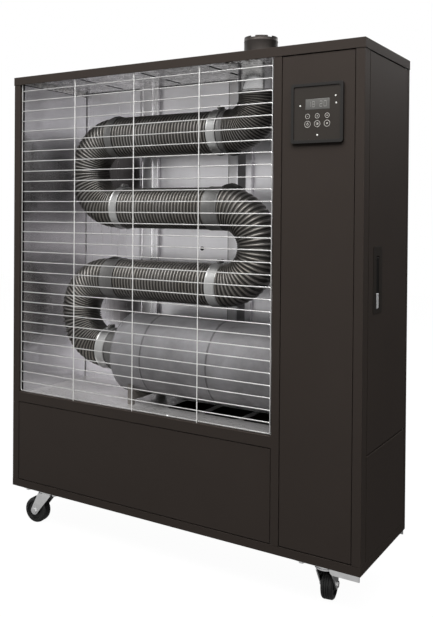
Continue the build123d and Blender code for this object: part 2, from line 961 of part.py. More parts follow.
with BuildPart() as combustion_drum:
    axis_plane = Plane(
        origin=place(0, tube_depth, drum_height), x_dir=(1, 0, 0), z_dir=(0, -1, 0)
    )
    with BuildSketch(axis_plane):
        with BuildLine():
            Polyline(
                (drum_left_x - neck_length, neck_radius - drum_wall),
                (drum_left_x - neck_length, neck_radius),
                (neck_step_x, neck_radius),
                (neck_step_x, tube_radius),
                (drum_left_x, tube_radius),
                (drum_left_x, drum_radius),
                (drum_right_x, drum_radius),
                (drum_right_x, burner_neck_radius),
                (drum_flange_x, burner_neck_radius),
                (drum_flange_x, burner_neck_radius + drum_flange),
                (partition_x - reflector_sheet, burner_neck_radius + drum_flange),
                (partition_x - reflector_sheet, burner_neck_radius - drum_wall),
                (drum_right_x - drum_wall, burner_neck_radius - drum_wall),
                (drum_right_x - drum_wall, drum_radius - drum_wall),
                (drum_left_x + drum_wall, drum_radius - drum_wall),
                (drum_left_x + drum_wall, tube_radius - drum_wall),
                (neck_step_x + drum_wall, tube_radius - drum_wall),
                (neck_step_x + drum_wall, neck_radius - drum_wall),
                close=True,
            )
        make_face()
    revolve(axis=Axis(place(0, tube_depth, drum_height), (1, 0, 0)))
finish(combustion_drum.part, "combustion_drum")


def straight_station(start_x, height):
    """Give the cross plane at a run along a level tube."""

    def station(run):
        return Plane(
            origin=place(start_x + run, tube_depth, height), x_dir=(0, 1, 0), z_dir=(1, 0, 0)
        )

    return station


def bend_station(start_x, height, lead, radius, side, sweep_angle):
    """Give the cross plane at a run along a tube that turns in the upright plane.

    The tube starts level at start_x, runs on for lead and then turns upwards. side is -1
    for a bend that opens to the right, and 1 for one that opens to the left.
    """

    def station(run):
        arc_run = min(max(run - lead, 0), radius * sweep_angle)
        turn = arc_run / radius
        level = min(run, lead)
        after = max(run - lead - radius * sweep_angle, 0)
        x = start_x + side * (level + radius * math.sin(turn) + after * math.cos(turn))
        z = height + radius * (1 - math.cos(turn)) + after * math.sin(turn)
        direction = (side * math.cos(turn), 0, math.sin(turn))
        return Plane(origin=place(x, tube_depth, z), x_dir=(0, 1, 0), z_dir=direction)

    return station


def ribbed_skin(station, length):
    """Add the ribs of a corrugated tube as one ruled loft, four circles to a rib."""
    ribs = round(length / rib_pitch)
    pitch = length / ribs
    rings = []
    for rib in range(ribs):
        for share, radius in (
            (0.0, root_radius),
            (0.3, tube_radius),
            (0.6, tube_radius),
            (0.9, root_radius),
        ):
            with BuildSketch(station((rib + share) * pitch)) as ring:
                Circle(radius)
            rings.append(ring.sketch)
    with BuildSketch(station(length)) as last_ring:
        Circle(root_radius)
    loft(rings + [last_ring.sketch], ruled=True)


def straight_tube(start_x, end_x, height):
    """Add a level length of corrugated tube with its bore."""
    ribbed_skin(straight_station(start_x, height), end_x - start_x)
    with BuildSketch(straight_station(start_x, height)(0)) as bore:
        Circle(bore_radius)
    extrude(bore.sketch, amount=end_x - start_x, mode=Mode.SUBTRACT)


def bent_tube(start_x, height, lead, radius, side, sweep_angle, after):
    """Add a bent length of corrugated tube with its bore."""
    station = bend_station(start_x, height, lead, radius, side, sweep_angle)
    length = lead + radius * sweep_angle + after
    ribbed_skin(station, length)
    with BuildLine() as middle_line:
        first = station(0).origin
        bend_start = station(lead).origin
        bend_middle = station(lead + radius * sweep_angle / 2).origin
        bend_end = station(lead + radius * sweep_angle).origin
        last = station(length).origin
        Line(first, bend_start)
        ThreePointArc(bend_start, bend_middle, bend_end)
        Line(bend_end, last)
    with BuildSketch(station(0)) as bore:
        Circle(bore_radius)
    sweep(bore.sketch, path=middle_line.line, mode=Mode.SUBTRACT)


bend_radius = pass_spacing / 2
pass_heights = [lowest_pass_height + index * pass_spacing for index in range(3)]
half_turn = math.pi
quarter_turn = math.pi / 2

left_ring_x = left_bend_x + left_ring_lead
left_clamp_x = left_bend_x + left_clamp_lead
right_ring_x = right_bend_x - right_ring_lead
right_clamp_x = right_bend_x - right_clamp_lead
lower_ring_x = lower_bend_x + lower_ring_lead
elbow_ring_x = elbow_x - elbow_lead
top_clamp_x = right_rail_x

with BuildPart() as tube_pass_top:
    straight_tube(left_ring_x + joint_gap, elbow_ring_x - joint_gap, pass_heights[2])
finish(tube_pass_top.part, "tube_pass_top")

with BuildPart() as tube_pass_middle:
    straight_tube(left_clamp_x + joint_gap, right_ring_x - joint_gap, pass_heights[1])
finish(tube_pass_middle.part, "tube_pass_middle")

with BuildPart() as tube_pass_lower:
    straight_tube(lower_ring_x + joint_gap, right_clamp_x - joint_gap, pass_heights[0])
finish(tube_pass_lower.part, "tube_pass_lower")

with BuildPart() as tube_bend_left:
    bent_tube(
        left_clamp_x,
        pass_heights[1],
        left_clamp_x - left_bend_x,
        bend_radius,
        -1,
        half_turn,
        left_ring_x - left_bend_x,
    )
finish(tube_bend_left.part, "tube_bend_left")

with BuildPart() as tube_bend_right:
    bent_tube(
        right_clamp_x,
        pass_heights[0],
        right_bend_x - right_clamp_x,
        bend_radius,
        1,
        half_turn,
        right_bend_x - right_ring_x,
    )
finish(tube_bend_right.part, "tube_bend_right")

with BuildPart() as tube_bend_lower:
    bent_tube(
        lower_clamp_x,
        drum_height,
        lower_clamp_x - lower_bend_x,
        (pass_heights[0] - drum_height) / 2,
        -1,
        half_turn,
        lower_ring_x - lower_bend_x,
    )
finish(tube_bend_lower.part, "tube_bend_lower")

with BuildPart() as flue_elbow:
    bent_tube(
        elbow_ring_x,
        pass_heights[2],
        elbow_x - elbow_ring_x,
        elbow_radius,
        1,
        quarter_turn,
        elbow_rise,
    )
finish(flue_elbow.part, "flue_elbow")


def band(x, height, width, tail_x=None):
    """Add a band round the tube, with a tail back to a rail where one is named."""
    inner = tube_radius + band_clearance
    tube((x - width / 2, tube_depth, height), (1, 0, 0), inner + band_thickness, inner, width)
    if tail_x is not None:
        block(
            (tail_x - tail_width / 2, tail_x + tail_width / 2),
            (tube_depth + inner + band_thickness / 2, reflector_depth - rail_height),
            (height - tail_thickness / 2, height + tail_thickness / 2),
        )


left_tail_x = left_rail_x - left_tail_shift

with BuildPart() as coupling_rings:
    band(left_ring_x, pass_heights[2], left_ring_width, left_tail_x)
    band(elbow_ring_x, pass_heights[2], elbow_ring_width)
    band(right_ring_x, pass_heights[1], right_ring_width, right_rail_x)
    band(lower_ring_x, pass_heights[0], lower_ring_width, left_tail_x)
finish(coupling_rings.part, "coupling_rings")

with BuildPart() as clamp_bands:
    band(top_clamp_x, pass_heights[2], top_clamp_width, right_rail_x)
    band(left_clamp_x, pass_heights[1], middle_clamp_width, left_rail_x)
    band(right_clamp_x, pass_heights[0], clamp_width, right_rail_x)
    band(lower_clamp_x, drum_height, clamp_width)
    for clamp_x, clamp_height in (
        (top_clamp_x, pass_heights[2]),
        (left_clamp_x, pass_heights[1]),
        (right_clamp_x, pass_heights[0]),
        (lower_clamp_x, drum_height),
    ):
        screw_seat = clamp_height + tube_radius + band_clearance + band_thickness / 2
        block(
            (clamp_x - clamp_screw[0] / 2, clamp_x + clamp_screw[0] / 2),
            (tube_depth - clamp_screw[1] / 2, tube_depth + clamp_screw[1] / 2),
            (screw_seat, screw_seat + clamp_screw[2]),
        )
finish(clamp_bands.part, "clamp_bands")

elbow_top = pass_heights[2] + elbow_radius + elbow_rise
sleeve_inner = tube_radius + band_clearance
spigot_outer = flue_radius - flue_wall - running_gap
cone_bottom = ceiling_height - cone_start
cone_top = cabinet_height - sheet - cone_margin

with BuildPart() as flue_connector:
    with BuildSketch(front_plane(flue_x, 0, tube_depth)):
        with BuildLine():
            Polyline(
                (sleeve_inner, elbow_top - sleeve_overlap),
                (sleeve_inner + flue_wall, elbow_top - sleeve_overlap),
                (sleeve_inner + flue_wall, cone_bottom),
                (spigot_outer, cone_top),
                (spigot_outer, cabinet_height + spigot_reach),
                (spigot_outer - flue_wall, cabinet_height + spigot_reach),
                (spigot_outer - flue_wall, cone_top),
                (sleeve_inner, cone_bottom),
                close=True,
            )
        make_face()
    revolve(axis=Axis(place(flue_x, tube_depth, 0), (0, 0, 1)))
finish(flue_connector.part, "flue_connector")

with BuildPart() as flue_collar:
    collar_foot = cabinet_height + sheet + flue_neck_height
    tube(
        (flue_x, tube_depth, cabinet_height - collar_reach),
        (0, 0, 1),
        flue_radius - flue_neck_step,
        flue_radius - flue_wall,
        collar_foot - cabinet_height + collar_reach,
    )
    tube(
        (flue_x, tube_depth, collar_foot),
        (0, 0, 1),
        flue_radius,
        flue_radius - flue_wall,
        cabinet_height + flue_height - collar_foot,
    )
    tube(
        (flue_x, tube_depth, cabinet_height),
        (0, 0, 1),
        flue_flange_radius,
        flue_radius - flue_wall,
        sheet,
    )
    with BuildSketch(Plane(origin=place(flue_x, tube_depth, cabinet_height + flue_height))):
        Circle(flue_radius)
        Circle(flue_radius - flue_wall, mode=Mode.SUBTRACT)
        with PolarLocations(0, flue_tabs // 2, flue_tab_turn, half_circle):
            Rectangle(3 * flue_radius, flue_tab_gap, mode=Mode.SUBTRACT)
    extrude(amount=flue_tab_height)
finish(flue_collar.part, "flue_collar")

# Wire guard

guard_top = guard_first + (guard_wires - 2) * guard_pitch
guard_width = guard_right_x - guard_left_x
upright_depth = guard_depth - 2 * guard_wire_radius + guard_weld

with BuildPart() as guard_grille:
    with BuildLine(front_plane(0, 0, guard_depth)) as edge_wire:
        FilletPolyline(
            (guard_left_x, guard_top + guard_tip),
            (guard_left_x, guard_bottom),
            (guard_right_x, guard_bottom),
            (guard_right_x, guard_top + guard_tip),
            radius=guard_corner,
        )
    with BuildSketch(Plane(origin=edge_wire.line @ 0, z_dir=edge_wire.line % 0)) as edge_end:
        Circle(guard_wire_radius)
    sweep(edge_end.sketch, path=edge_wire.line)
    wire_middle = (guard_first + guard_top) / 2
    with BuildSketch(side_plane(guard_depth, wire_middle, guard_left_x)) as wire_ends:
        with GridLocations(1, guard_pitch, 1, guard_wires - 1):
            Circle(guard_wire_radius)
    extrude(wire_ends.sketch, amount=guard_width)
    upright_foot = place((guard_left_x + guard_right_x) / 2, upright_depth, sill_top)
    with BuildSketch(Plane(origin=upright_foot)) as upright_ends:
        with GridLocations(guard_width / guard_bays, 1, guard_bays - 1, 1):
            Circle(guard_wire_radius)
    extrude(upright_ends.sketch, amount=cabinet_height - sheet - sill_top)
finish(guard_grille.part, "guard_grille")

# Burner

housing_right_x = partition_x + housing_width
housing_inner_x = partition_x + housing_wall


def burner_rod(x, radius, length, mode=Mode.ADD):
    """Add or cut a bar on the burner's axis, from x towards the motor."""
    rod((x, tube_depth, drum_height), (1, 0, 0), radius, length, mode)


with BuildPart() as burner_housing:
    burner_rod(partition_x, housing_radius, housing_width)
    burner_rod(
        housing_inner_x,
        housing_radius - housing_wall,
        housing_width - 2 * housing_wall,
        Mode.SUBTRACT,
    )
    burner_rod(partition_x, blast_radius + running_gap, housing_wall, Mode.SUBTRACT)
    burner_rod(
        housing_right_x - housing_wall,
        shaft_radius + running_gap,
        housing_wall,
        Mode.SUBTRACT,
    )
    with BuildSketch(side_plane(tube_depth, drum_height, housing_right_x)) as air_inlets:
        with PolarLocations(air_hole_circle, air_holes):
            Circle(air_hole_radius)
    extrude(air_inlets.sketch, amount=-housing_wall, mode=Mode.SUBTRACT)
finish(burner_housing.part, "burner_housing")

with BuildPart() as burner_motor:
    burner_rod(housing_right_x, motor_radius, motor_length)
    burner_rod(housing_right_x, *motor_flange)
    box_x = housing_right_x + motor_length / 2
    block(
        (box_x - motor_box[0] / 2, box_x + motor_box[0] / 2),
        (tube_depth - motor_box[1] / 2, tube_depth + motor_box[1] / 2),
        (drum_height, drum_height + motor_radius + motor_box[2]),
    )
    burner_rod(
        housing_right_x,
        shaft_radius + running_gap,
        shaft_reach + running_gap,
        Mode.SUBTRACT,
    )
finish(burner_motor.part, "burner_motor")

with BuildPart() as burner_fan:
    fan_left_x = partition_x + (housing_width - fan_width) / 2
    fan_right_x = fan_left_x + fan_width
    burner_rod(fan_right_x - blade_thickness, fan_radius, blade_thickness)
    burner_rod(fan_left_x, hub_radius, fan_width)
    burner_rod(fan_left_x, shaft_radius, housing_right_x + shaft_reach - fan_left_x)
    tube(
        (fan_left_x, tube_depth, drum_height),
        (1, 0, 0),
        fan_radius,
        fan_radius - blade_depth,
        blade_thickness,
    )
    with BuildSketch(side_plane(tube_depth, drum_height, fan_left_x)) as blades:
        with PolarLocations(fan_radius - blade_depth / 2, fan_blades):
            Rectangle(blade_depth - 2 * blade_margin, blade_thickness)
    extrude(blades.sketch, amount=fan_width)
finish(burner_fan.part, "burner_fan")

with BuildPart() as blast_tube:
    blast_start = (blast_left_x, tube_depth, drum_height)
    blast_inner = blast_radius - blast_wall
    tube(blast_start, (1, 0, 0), blast_radius, blast_inner, housing_inner_x - blast_left_x)
    tube(
        (housing_inner_x, tube_depth, drum_height),
        (1, 0, 0),
        blast_radius + blast_flange,
        blast_inner,
        blast_wall,
    )
    with BuildSketch(side_plane(tube_depth, drum_height, diffuser_x)) as diffuser:
        Circle(blast_inner - running_gap)
        with PolarLocations(diffuser_hole_circle, diffuser_holes):
            Circle(diffuser_hole_radius, mode=Mode.SUBTRACT)
    extrude(diffuser.sketch, amount=blast_wall)
    burner_rod(diffuser_x - nozzle_length / 3, nozzle_radius, nozzle_length)
    with BuildSketch(side_plane(tube_depth, drum_height, diffuser_x)) as electrodes:
        with PolarLocations(nozzle_radius + electrode_gap, 2, electrode_turn):
            Circle(electrode_radius)
    extrude(electrodes.sketch, amount=-electrode_length)
finish(blast_tube.part, "blast_tube")

with BuildPart() as ignition_transformer:
    transformer_x = (partition_x, partition_x + transformer[0])
    transformer_depth = (tube_depth - transformer[1] / 2, tube_depth + transformer[1] / 2)
    transformer_top = transformer_height + transformer[2]
    block(transformer_x, transformer_depth, (transformer_height, transformer_top))
    block(
        (partition_x, partition_x + sheet),
        transformer_depth,
        (transformer_height - transformer_foot, transformer_top + transformer_foot),
    )
    for terminal_depth in (tube_depth - terminal_pitch / 2, tube_depth + terminal_pitch / 2):
        rod(
            (partition_x + transformer[0] / 2, terminal_depth, transformer_height),
            (0, 0, -1),
            terminal_radius,
            terminal_length,
        )
finish(ignition_transformer.part, "ignition_transformer")

# Fuel

tank_width = tank_right_x - tank_left_x
tank_length = tank_rear_depth - tank_front_depth
tank_x = (tank_left_x + tank_right_x) / 2
tank_depth = (tank_front_depth + tank_rear_depth) / 2

with BuildPart() as fuel_tank:
    with BuildSketch(Plane(origin=place(tank_x, tank_depth, sheet))) as tank_foot:
        RectangleRounded(tank_width, tank_length, tank_corner)
    extrude(amount=tank_top - sheet)
    with BuildSketch(Plane(origin=place(tank_x, tank_depth, 2 * sheet))) as tank_inside:
        RectangleRounded(tank_width - 2 * sheet, tank_length - 2 * sheet, tank_corner - sheet)
    extrude(amount=tank_top - 3 * sheet, mode=Mode.SUBTRACT)
    neck_foot = (filler_x, filler_depth, tank_top - sheet)
    neck_rise = filler_top - tank_top + sheet
    rod(neck_foot, (0, 0, 1), filler_radius, neck_rise)
    rod(neck_foot, (0, 0, 1), filler_radius - filler_wall, neck_rise, Mode.SUBTRACT)
finish(fuel_tank.part, "fuel_tank")

with BuildPart() as fuel_cap:
    skirt_foot = (filler_x, filler_depth, filler_top - cap_skirt)
    rod(skirt_foot, (0, 0, 1), cap_radius, cap_skirt + running_gap + cap_crown)
    rod(
        skirt_foot,
        (0, 0, 1),
        filler_radius + running_gap,
        cap_skirt + running_gap,
        Mode.SUBTRACT,
    )
    with BuildSketch(Plane(origin=place(*skirt_foot))) as grips:
        with PolarLocations(cap_radius, cap_grips):
            Circle(cap_grip_radius)
    extrude(grips.sketch, amount=cap_skirt, mode=Mode.SUBTRACT)
finish(fuel_cap.part, "fuel_cap")

with BuildPart() as fuel_pump:
    rod((pump_x, pump_depth, pump_bottom), (0, 0, 1), pump_radius / 2, pump_length)
    rod(
        (pump_x, pump_depth, pump_bottom + pump_length / 8),
        (0, 0, 1),
        pump_radius,
        pump_length * 3 / 4,
    )
    block(
        (partition_x, pump_x),
        (pump_depth - pump_bracket[0] / 2, pump_depth + pump_bracket[0] / 2),
        (
            (pump_bottom + pump_top) / 2 - pump_bracket[1] / 2,
            (pump_bottom + pump_top) / 2 + pump_bracket[1] / 2,
        ),
    )
finish(fuel_pump.part, "fuel_pump")

with BuildPart() as fuel_line:
    rod(
        (pump_x, pump_depth, tank_top),
        (0, 0, 1),
        fuel_pipe_radius,
        pump_bottom - tank_top,
    )
    with BuildLine() as delivery:
        FilletPolyline(
            place(pump_x, pump_depth, pump_top),
            place(pump_x, pump_depth, pump_top + delivery_rise),
            place(pump_x, tube_depth, pump_top + delivery_rise),
            place(pump_x, tube_depth, drum_height + housing_radius),
            radius=fuel_bend_radius,
        )
    with BuildSketch(Plane(origin=delivery.line @ 0, z_dir=delivery.line % 0)) as line_end:
        Circle(fuel_pipe_radius)
    sweep(line_end.sketch, path=delivery.line)
finish(fuel_line.part, "fuel_line")

# Controls

face_back_depth = bezel_recess - bezel_proud + bezel_face
key_places = {}
for height, radius, row in (
    (upper_key_height, upper_key_radius, "upper"),
    (lower_key_height, lower_key_radius, "lower"),
):
    for x, side in zip(key_x, ("left", "middle", "right")):
        key_places[f"key_{row}_{side}"] = (x, height, radius)

with BuildPart() as control_bezel:
    with BuildSketch(front_plane(bezel_x, bezel_centre_height, column_face_depth)):
        RectangleRounded(bezel_width, bezel_height, bezel_corner)
    extrude(amount=column_face_depth + bezel_proud)
    with BuildSketch(front_plane(bezel_x, bezel_centre_height, column_face_depth)):
        Rectangle(*bezel_body)
    extrude(amount=-bezel_body_depth)
    with BuildSketch(front_plane(bezel_x, bezel_centre_height, -bezel_proud)):
        RectangleRounded(
            bezel_width - 2 * bezel_rim, bezel_height - 2 * bezel_rim, bezel_recess_corner
        )
    extrude(amount=-bezel_recess, mode=Mode.SUBTRACT)
    with BuildSketch(front_plane(bezel_x, bezel_centre_height, face_back_depth)):
        Rectangle(bezel_body[0] - 2 * bezel_face, bezel_body[1] - 2 * bezel_face)
    extrude(amount=-(column_face_depth + bezel_body_depth), mode=Mode.SUBTRACT)
    with BuildSketch(front_plane(bezel_x, bezel_centre_height, face_back_depth)):
        with GridLocations(*board_posts, 2, 2):
            Circle(board_post_radius)
    extrude(amount=-(board_depth - face_back_depth))
    with BuildSketch(front_plane(0, 0, face_back_depth)):
        for x, height, radius in key_places.values():
            with Locations((x, height)):
                Circle(radius + key_clearance)
        with Locations(*lamp_places):
            Circle(lamp_radius + key_clearance)
        with Locations((display_x, display_height)):
            Rectangle(display_size[0] + 2 * key_clearance, display_size[1] + 2 * key_clearance)
    extrude(amount=bezel_face, mode=Mode.SUBTRACT)
finish(control_bezel.part, "control_bezel")

with BuildPart() as display_window:
    with BuildSketch(front_plane(display_x, display_height, face_back_depth)):
        Rectangle(*display_size)
    extrude(amount=bezel_face)
    with BuildSketch(front_plane(display_x, display_height, face_back_depth)):
        Rectangle(display_size[0] + 2 * display_lip, display_size[1] + 2 * display_lip)
    extrude(amount=-key_flange_thickness)
finish(display_window.part, "display_window")

for key_name, (x, height, radius) in key_places.items():
    with BuildPart() as control_key:
        with BuildSketch(front_plane(x, height, face_back_depth)):
            Circle(radius)
        extrude(amount=bezel_face + key_stand)
        with BuildSketch(front_plane(x, height, face_back_depth)):
            Circle(radius + key_flange)
        extrude(amount=-key_flange_thickness)
    finish(control_key.part, key_name)

with BuildPart() as control_board:
    with BuildSketch(front_plane(bezel_x, bezel_centre_height, board_depth)):
        Rectangle(*board_size)
    extrude(amount=-board_thickness)
    with BuildSketch(front_plane(0, 0, board_depth)):
        with Locations((display_x, display_height)):
            Rectangle(*display_size)
    extrude(amount=board_depth - face_back_depth - key_flange_thickness - running_gap)
    with BuildSketch(front_plane(0, 0, board_depth)):
        for x, height, radius in key_places.values():
            with Locations((x, height)):
                Rectangle(switch_size, switch_size)
    switch_gap = key_flange_thickness + key_travel + switch_clearance
    extrude(amount=board_depth - face_back_depth - switch_gap)
    with BuildSketch(front_plane(0, 0, board_depth)):
        with Locations(*lamp_places):
            Circle(lamp_radius)
    extrude(amount=board_depth - face_back_depth + bezel_face)
finish(control_board.part, "control_board")

# Castors

race_foot = -castor_plate_thickness - race_height
crown_top = race_foot - running_gap
crown_foot = crown_top - fork_sheet
axle_height = wheel_radius - castor_height
leg_inner = wheel_width / 2 + fork_leg_gap
leg_outer = leg_inner + fork_sheet
castor_depths = (castor_inset, cabinet_depth - castor_inset)
castor_spots = [(side * castor_x, depth) for side in (-1, 1) for depth in castor_depths]
castor_names = ("front_left", "rear_left", "front_right", "rear_right")

with BuildPart() as castor_plates:
    with BuildSketch(Plane(origin=place(0, cabinet_depth / 2, 0))) as plate_feet:
        with GridLocations(2 * castor_x, cabinet_depth - 2 * castor_inset, 2, 2):
            RectangleRounded(*castor_plate, castor_plate_corner)
            with GridLocations(*castor_bolts, 2, 2):
                Circle(bolt_radius + running_gap, mode=Mode.SUBTRACT)
            Circle(kingpin_radius + running_gap, mode=Mode.SUBTRACT)
    extrude(plate_feet.sketch, amount=-castor_plate_thickness)
    with BuildSketch(Plane(origin=place(0, cabinet_depth / 2, -castor_plate_thickness))) as races:
        with GridLocations(2 * castor_x, cabinet_depth - 2 * castor_inset, 2, 2):
            Circle(race_radius)
            Circle(kingpin_radius + running_gap, mode=Mode.SUBTRACT)
    extrude(races.sketch, amount=-race_height)
    with BuildSketch(Plane(origin=place(0, cabinet_depth / 2, -castor_plate_thickness))) as shanks:
        with GridLocations(2 * castor_x, cabinet_depth - 2 * castor_inset, 2, 2):
            with GridLocations(*castor_bolts, 2, 2):
                Circle(bolt_radius)
    extrude(shanks.sketch, amount=castor_plate_thickness + sheet)
    with BuildSketch(Plane(origin=place(0, cabinet_depth / 2, -castor_plate_thickness))) as heads:
        with GridLocations(2 * castor_x, cabinet_depth - 2 * castor_inset, 2, 2):
            with GridLocations(*castor_bolts, 2, 2):
                RegularPolygon(bolt_head_radius, 6)
    extrude(heads.sketch, amount=-bolt_head_height)
    for front, side in ((0, 1), (cabinet_depth, -1)):
        edge = front + side * castor_wing_depth[0]
        lip_back = edge + side * castor_plate_thickness
        block(
            castor_wing_x,
            sorted((edge, front + side * castor_wing_depth[1])),
            (-castor_plate_thickness, 0),
        )
        with BuildSketch(front_plane(0, 0, max(edge, lip_back))) as wing_lip:
            with Locations((castor_wing_x[0], 0)):
                Rectangle(
                    castor_wing_x[1] - castor_wing_x[0],
                    castor_wing_lip,
                    align=(Align.MIN, Align.MAX),
                )
            fillet(vertices().group_by(Axis.Y)[0].sort_by(Axis.X)[0], castor_wing_corner)
        extrude(wing_lip.sketch, amount=castor_plate_thickness)
finish(castor_plates.part, "castor_plates")

for (pivot_x, pivot_depth), angle, castor_name in zip(castor_spots, castor_angles, castor_names):
    pivot = Location(place(pivot_x, pivot_depth, 0), (0, 0, angle))
    trailing = Plane(pivot)
    axle_plane = Plane(
        origin=(castor_trail, 0, axle_height), x_dir=(1, 0, 0), z_dir=(0, -1, 0)
    )
    wheel_side = Plane(pivot * axle_plane.location)
    with BuildPart() as castor_fork:
        with BuildSketch(trailing.offset(crown_foot)):
            Circle(fork_crown_radius)
        extrude(amount=fork_sheet)
        with BuildSketch(trailing.offset(crown_top)):
            Circle(kingpin_radius)
        extrude(amount=-crown_top - running_gap)
        for leg_face in (leg_outer, -leg_inner):
            with BuildSketch(wheel_side.offset(leg_face)):
                Circle(fork_foot_radius)
                with Locations((-castor_trail, crown_foot - axle_height - fork_sheet / 2)):
                    Rectangle(fork_leg_top, fork_sheet)
                make_hull()
            extrude(amount=-fork_sheet)
        with BuildSketch(wheel_side.offset(leg_outer)):
            Circle(axle_radius)
        extrude(amount=-2 * leg_outer)
        for head_face, outward in ((leg_outer, 1), (-leg_outer, -1)):
            with BuildSketch(wheel_side.offset(head_face)):
                RegularPolygon(axle_head[0], 6)
            extrude(amount=outward * axle_head[1])
    finish(castor_fork.part, f"castor_fork_{castor_name}")
    with BuildPart() as castor_wheel:
        with BuildSketch(wheel_side.offset(-wheel_width / 2)):
            Circle(wheel_radius)
        extrude(amount=wheel_width)
        chamfer(castor_wheel.edges().filter_by(GeomType.CIRCLE), wheel_edge)
        for side_face, inward in ((wheel_width / 2, -1), (-wheel_width / 2, 1)):
            with BuildSketch(wheel_side.offset(side_face)):
                Circle(hub_recess[1])
                Circle(hub_recess[0], mode=Mode.SUBTRACT)
            extrude(amount=inward * hub_recess_depth, mode=Mode.SUBTRACT)
        with BuildSketch(wheel_side.offset(-wheel_width / 2)):
            Circle(axle_radius + running_gap)
        extrude(amount=wheel_width, mode=Mode.SUBTRACT)
    finish(castor_wheel.part, f"castor_wheel_{castor_name}")
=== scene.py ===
"""Looks of the diesel heater, in metres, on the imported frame."""

import bpy
import bmesh
import json
import math
from mathutils import Matrix, Vector, noise

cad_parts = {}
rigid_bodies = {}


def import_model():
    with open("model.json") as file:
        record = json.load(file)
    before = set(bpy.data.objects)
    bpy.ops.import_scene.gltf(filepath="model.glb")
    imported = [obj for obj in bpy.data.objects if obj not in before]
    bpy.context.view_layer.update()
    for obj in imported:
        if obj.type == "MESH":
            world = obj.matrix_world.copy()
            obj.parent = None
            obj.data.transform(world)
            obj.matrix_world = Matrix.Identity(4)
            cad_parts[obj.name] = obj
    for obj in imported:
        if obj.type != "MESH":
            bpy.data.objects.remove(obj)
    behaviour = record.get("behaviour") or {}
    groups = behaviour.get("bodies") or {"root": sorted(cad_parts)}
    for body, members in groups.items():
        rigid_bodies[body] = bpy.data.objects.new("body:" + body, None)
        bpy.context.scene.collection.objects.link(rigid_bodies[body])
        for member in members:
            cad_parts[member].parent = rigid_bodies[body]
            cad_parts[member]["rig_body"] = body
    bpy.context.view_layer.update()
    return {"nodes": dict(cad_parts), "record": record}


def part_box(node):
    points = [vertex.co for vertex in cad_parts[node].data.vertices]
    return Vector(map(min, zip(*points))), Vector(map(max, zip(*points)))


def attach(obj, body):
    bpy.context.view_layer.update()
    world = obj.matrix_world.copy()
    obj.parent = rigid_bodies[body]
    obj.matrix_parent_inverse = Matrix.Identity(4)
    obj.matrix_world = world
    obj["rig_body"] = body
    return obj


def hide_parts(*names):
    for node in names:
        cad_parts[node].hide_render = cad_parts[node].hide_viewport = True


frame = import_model()
nodes = frame["nodes"]

MM = 0.001
FRONT_Y = -135.5
BASE_Z = 92.0


def spot(x, depth, height):
    """A place on the cabinet: depth from its front face, height from its underside."""
    return Vector((x * MM, (depth + FRONT_Y) * MM, (height + BASE_Z) * MM))


# Camera

PHOTO_HEIGHT = 617
FOCAL_LENGTH = 769.03
LEVEL_ROW = 220.56
SENSOR = 36
CAMERA_PLACE = (0.99924, -1.5382, 0.7932)
CAMERA_ANGLES = (31.537, 0.601, 0.45)


def make_camera():
    """The photograph's viewpoint, fitted to the cabinet's edges. Rows are in pixels."""
    turn, dip, roll = (math.radians(angle) for angle in CAMERA_ANGLES)
    ahead = Vector(
        (-math.sin(turn) * math.cos(dip), math.cos(turn) * math.cos(dip), -math.sin(dip))
    )
    level = Vector((math.cos(turn), math.sin(turn), 0))
    raised = level.cross(ahead)
    right = math.cos(roll) * level + math.sin(roll) * raised
    up = -math.sin(roll) * level + math.cos(roll) * raised
    data = bpy.data.cameras.new("camera")
    data.sensor_width = SENSOR
    data.lens = SENSOR * FOCAL_LENGTH / PHOTO_HEIGHT
    data.shift_y = -(PHOTO_HEIGHT / 2 - LEVEL_ROW) / PHOTO_HEIGHT
    data.clip_start = 0.05
    data.clip_end = 60
    camera = bpy.data.objects.new("camera", data)
    bpy.context.scene.collection.objects.link(camera)
    columns = Matrix((right, up, -ahead)).transposed()
    camera.matrix_world = Matrix.Translation(CAMERA_PLACE) @ columns.to_4x4()
    bpy.context.scene.camera = camera


make_camera()

# Shader groups: each gives only masks, values and normals


def new_group(name, inputs, outputs):
    group = bpy.data.node_groups.new(name, "ShaderNodeTree")
    for label, kind, value in inputs:
        socket = group.interface.new_socket(name=label, in_out="INPUT", socket_type=kind)
        if value is not None:
            socket.default_value = value
    for label, kind in outputs:
        group.interface.new_socket(name=label, in_out="OUTPUT", socket_type=kind)
    return group, group.nodes.new("NodeGroupInput"), group.nodes.new("NodeGroupOutput")


def noise_node(tree, vector, scale, detail=3.0, roughness=0.5):
    node = tree.nodes.new("ShaderNodeTexNoise")
    node.inputs["Scale"].default_value = scale
    node.inputs["Detail"].default_value = detail
    node.inputs["Roughness"].default_value = roughness
    tree.links.new(vector, node.inputs["Vector"])
    return node


def grain_group():
    """Cloudy variation, fine speckle and an orange-peel normal for coats and plastics."""
    group, source, sink = new_group(
        "grain",
        [
            ("Scale", "NodeSocketFloat", 900.0),
            ("Bump", "NodeSocketFloat", 0.15),
        ],
        [
            ("Cloud", "NodeSocketFloat"),
            ("Speckle", "NodeSocketFloat"),
            ("Normal", "NodeSocketVector"),
        ],
    )
    place = group.nodes.new("ShaderNodeTexCoord")
    cloud = noise_node(group, place.outputs["Object"], 4.0, 4.0, 0.6)
    speckle = noise_node(group, place.outputs["Object"], 900.0, 2.0)
    group.links.new(source.outputs["Scale"], speckle.inputs["Scale"])
    bump = group.nodes.new("ShaderNodeBump")
    bump.inputs["Distance"].default_value = 0.0004
    group.links.new(source.outputs["Bump"], bump.inputs["Strength"])
    group.links.new(speckle.outputs["Fac"], bump.inputs["Height"])
    group.links.new(cloud.outputs["Fac"], sink.inputs["Cloud"])
    group.links.new(speckle.outputs["Fac"], sink.inputs["Speckle"])
    group.links.new(bump.outputs["Normal"], sink.inputs["Normal"])
    return group


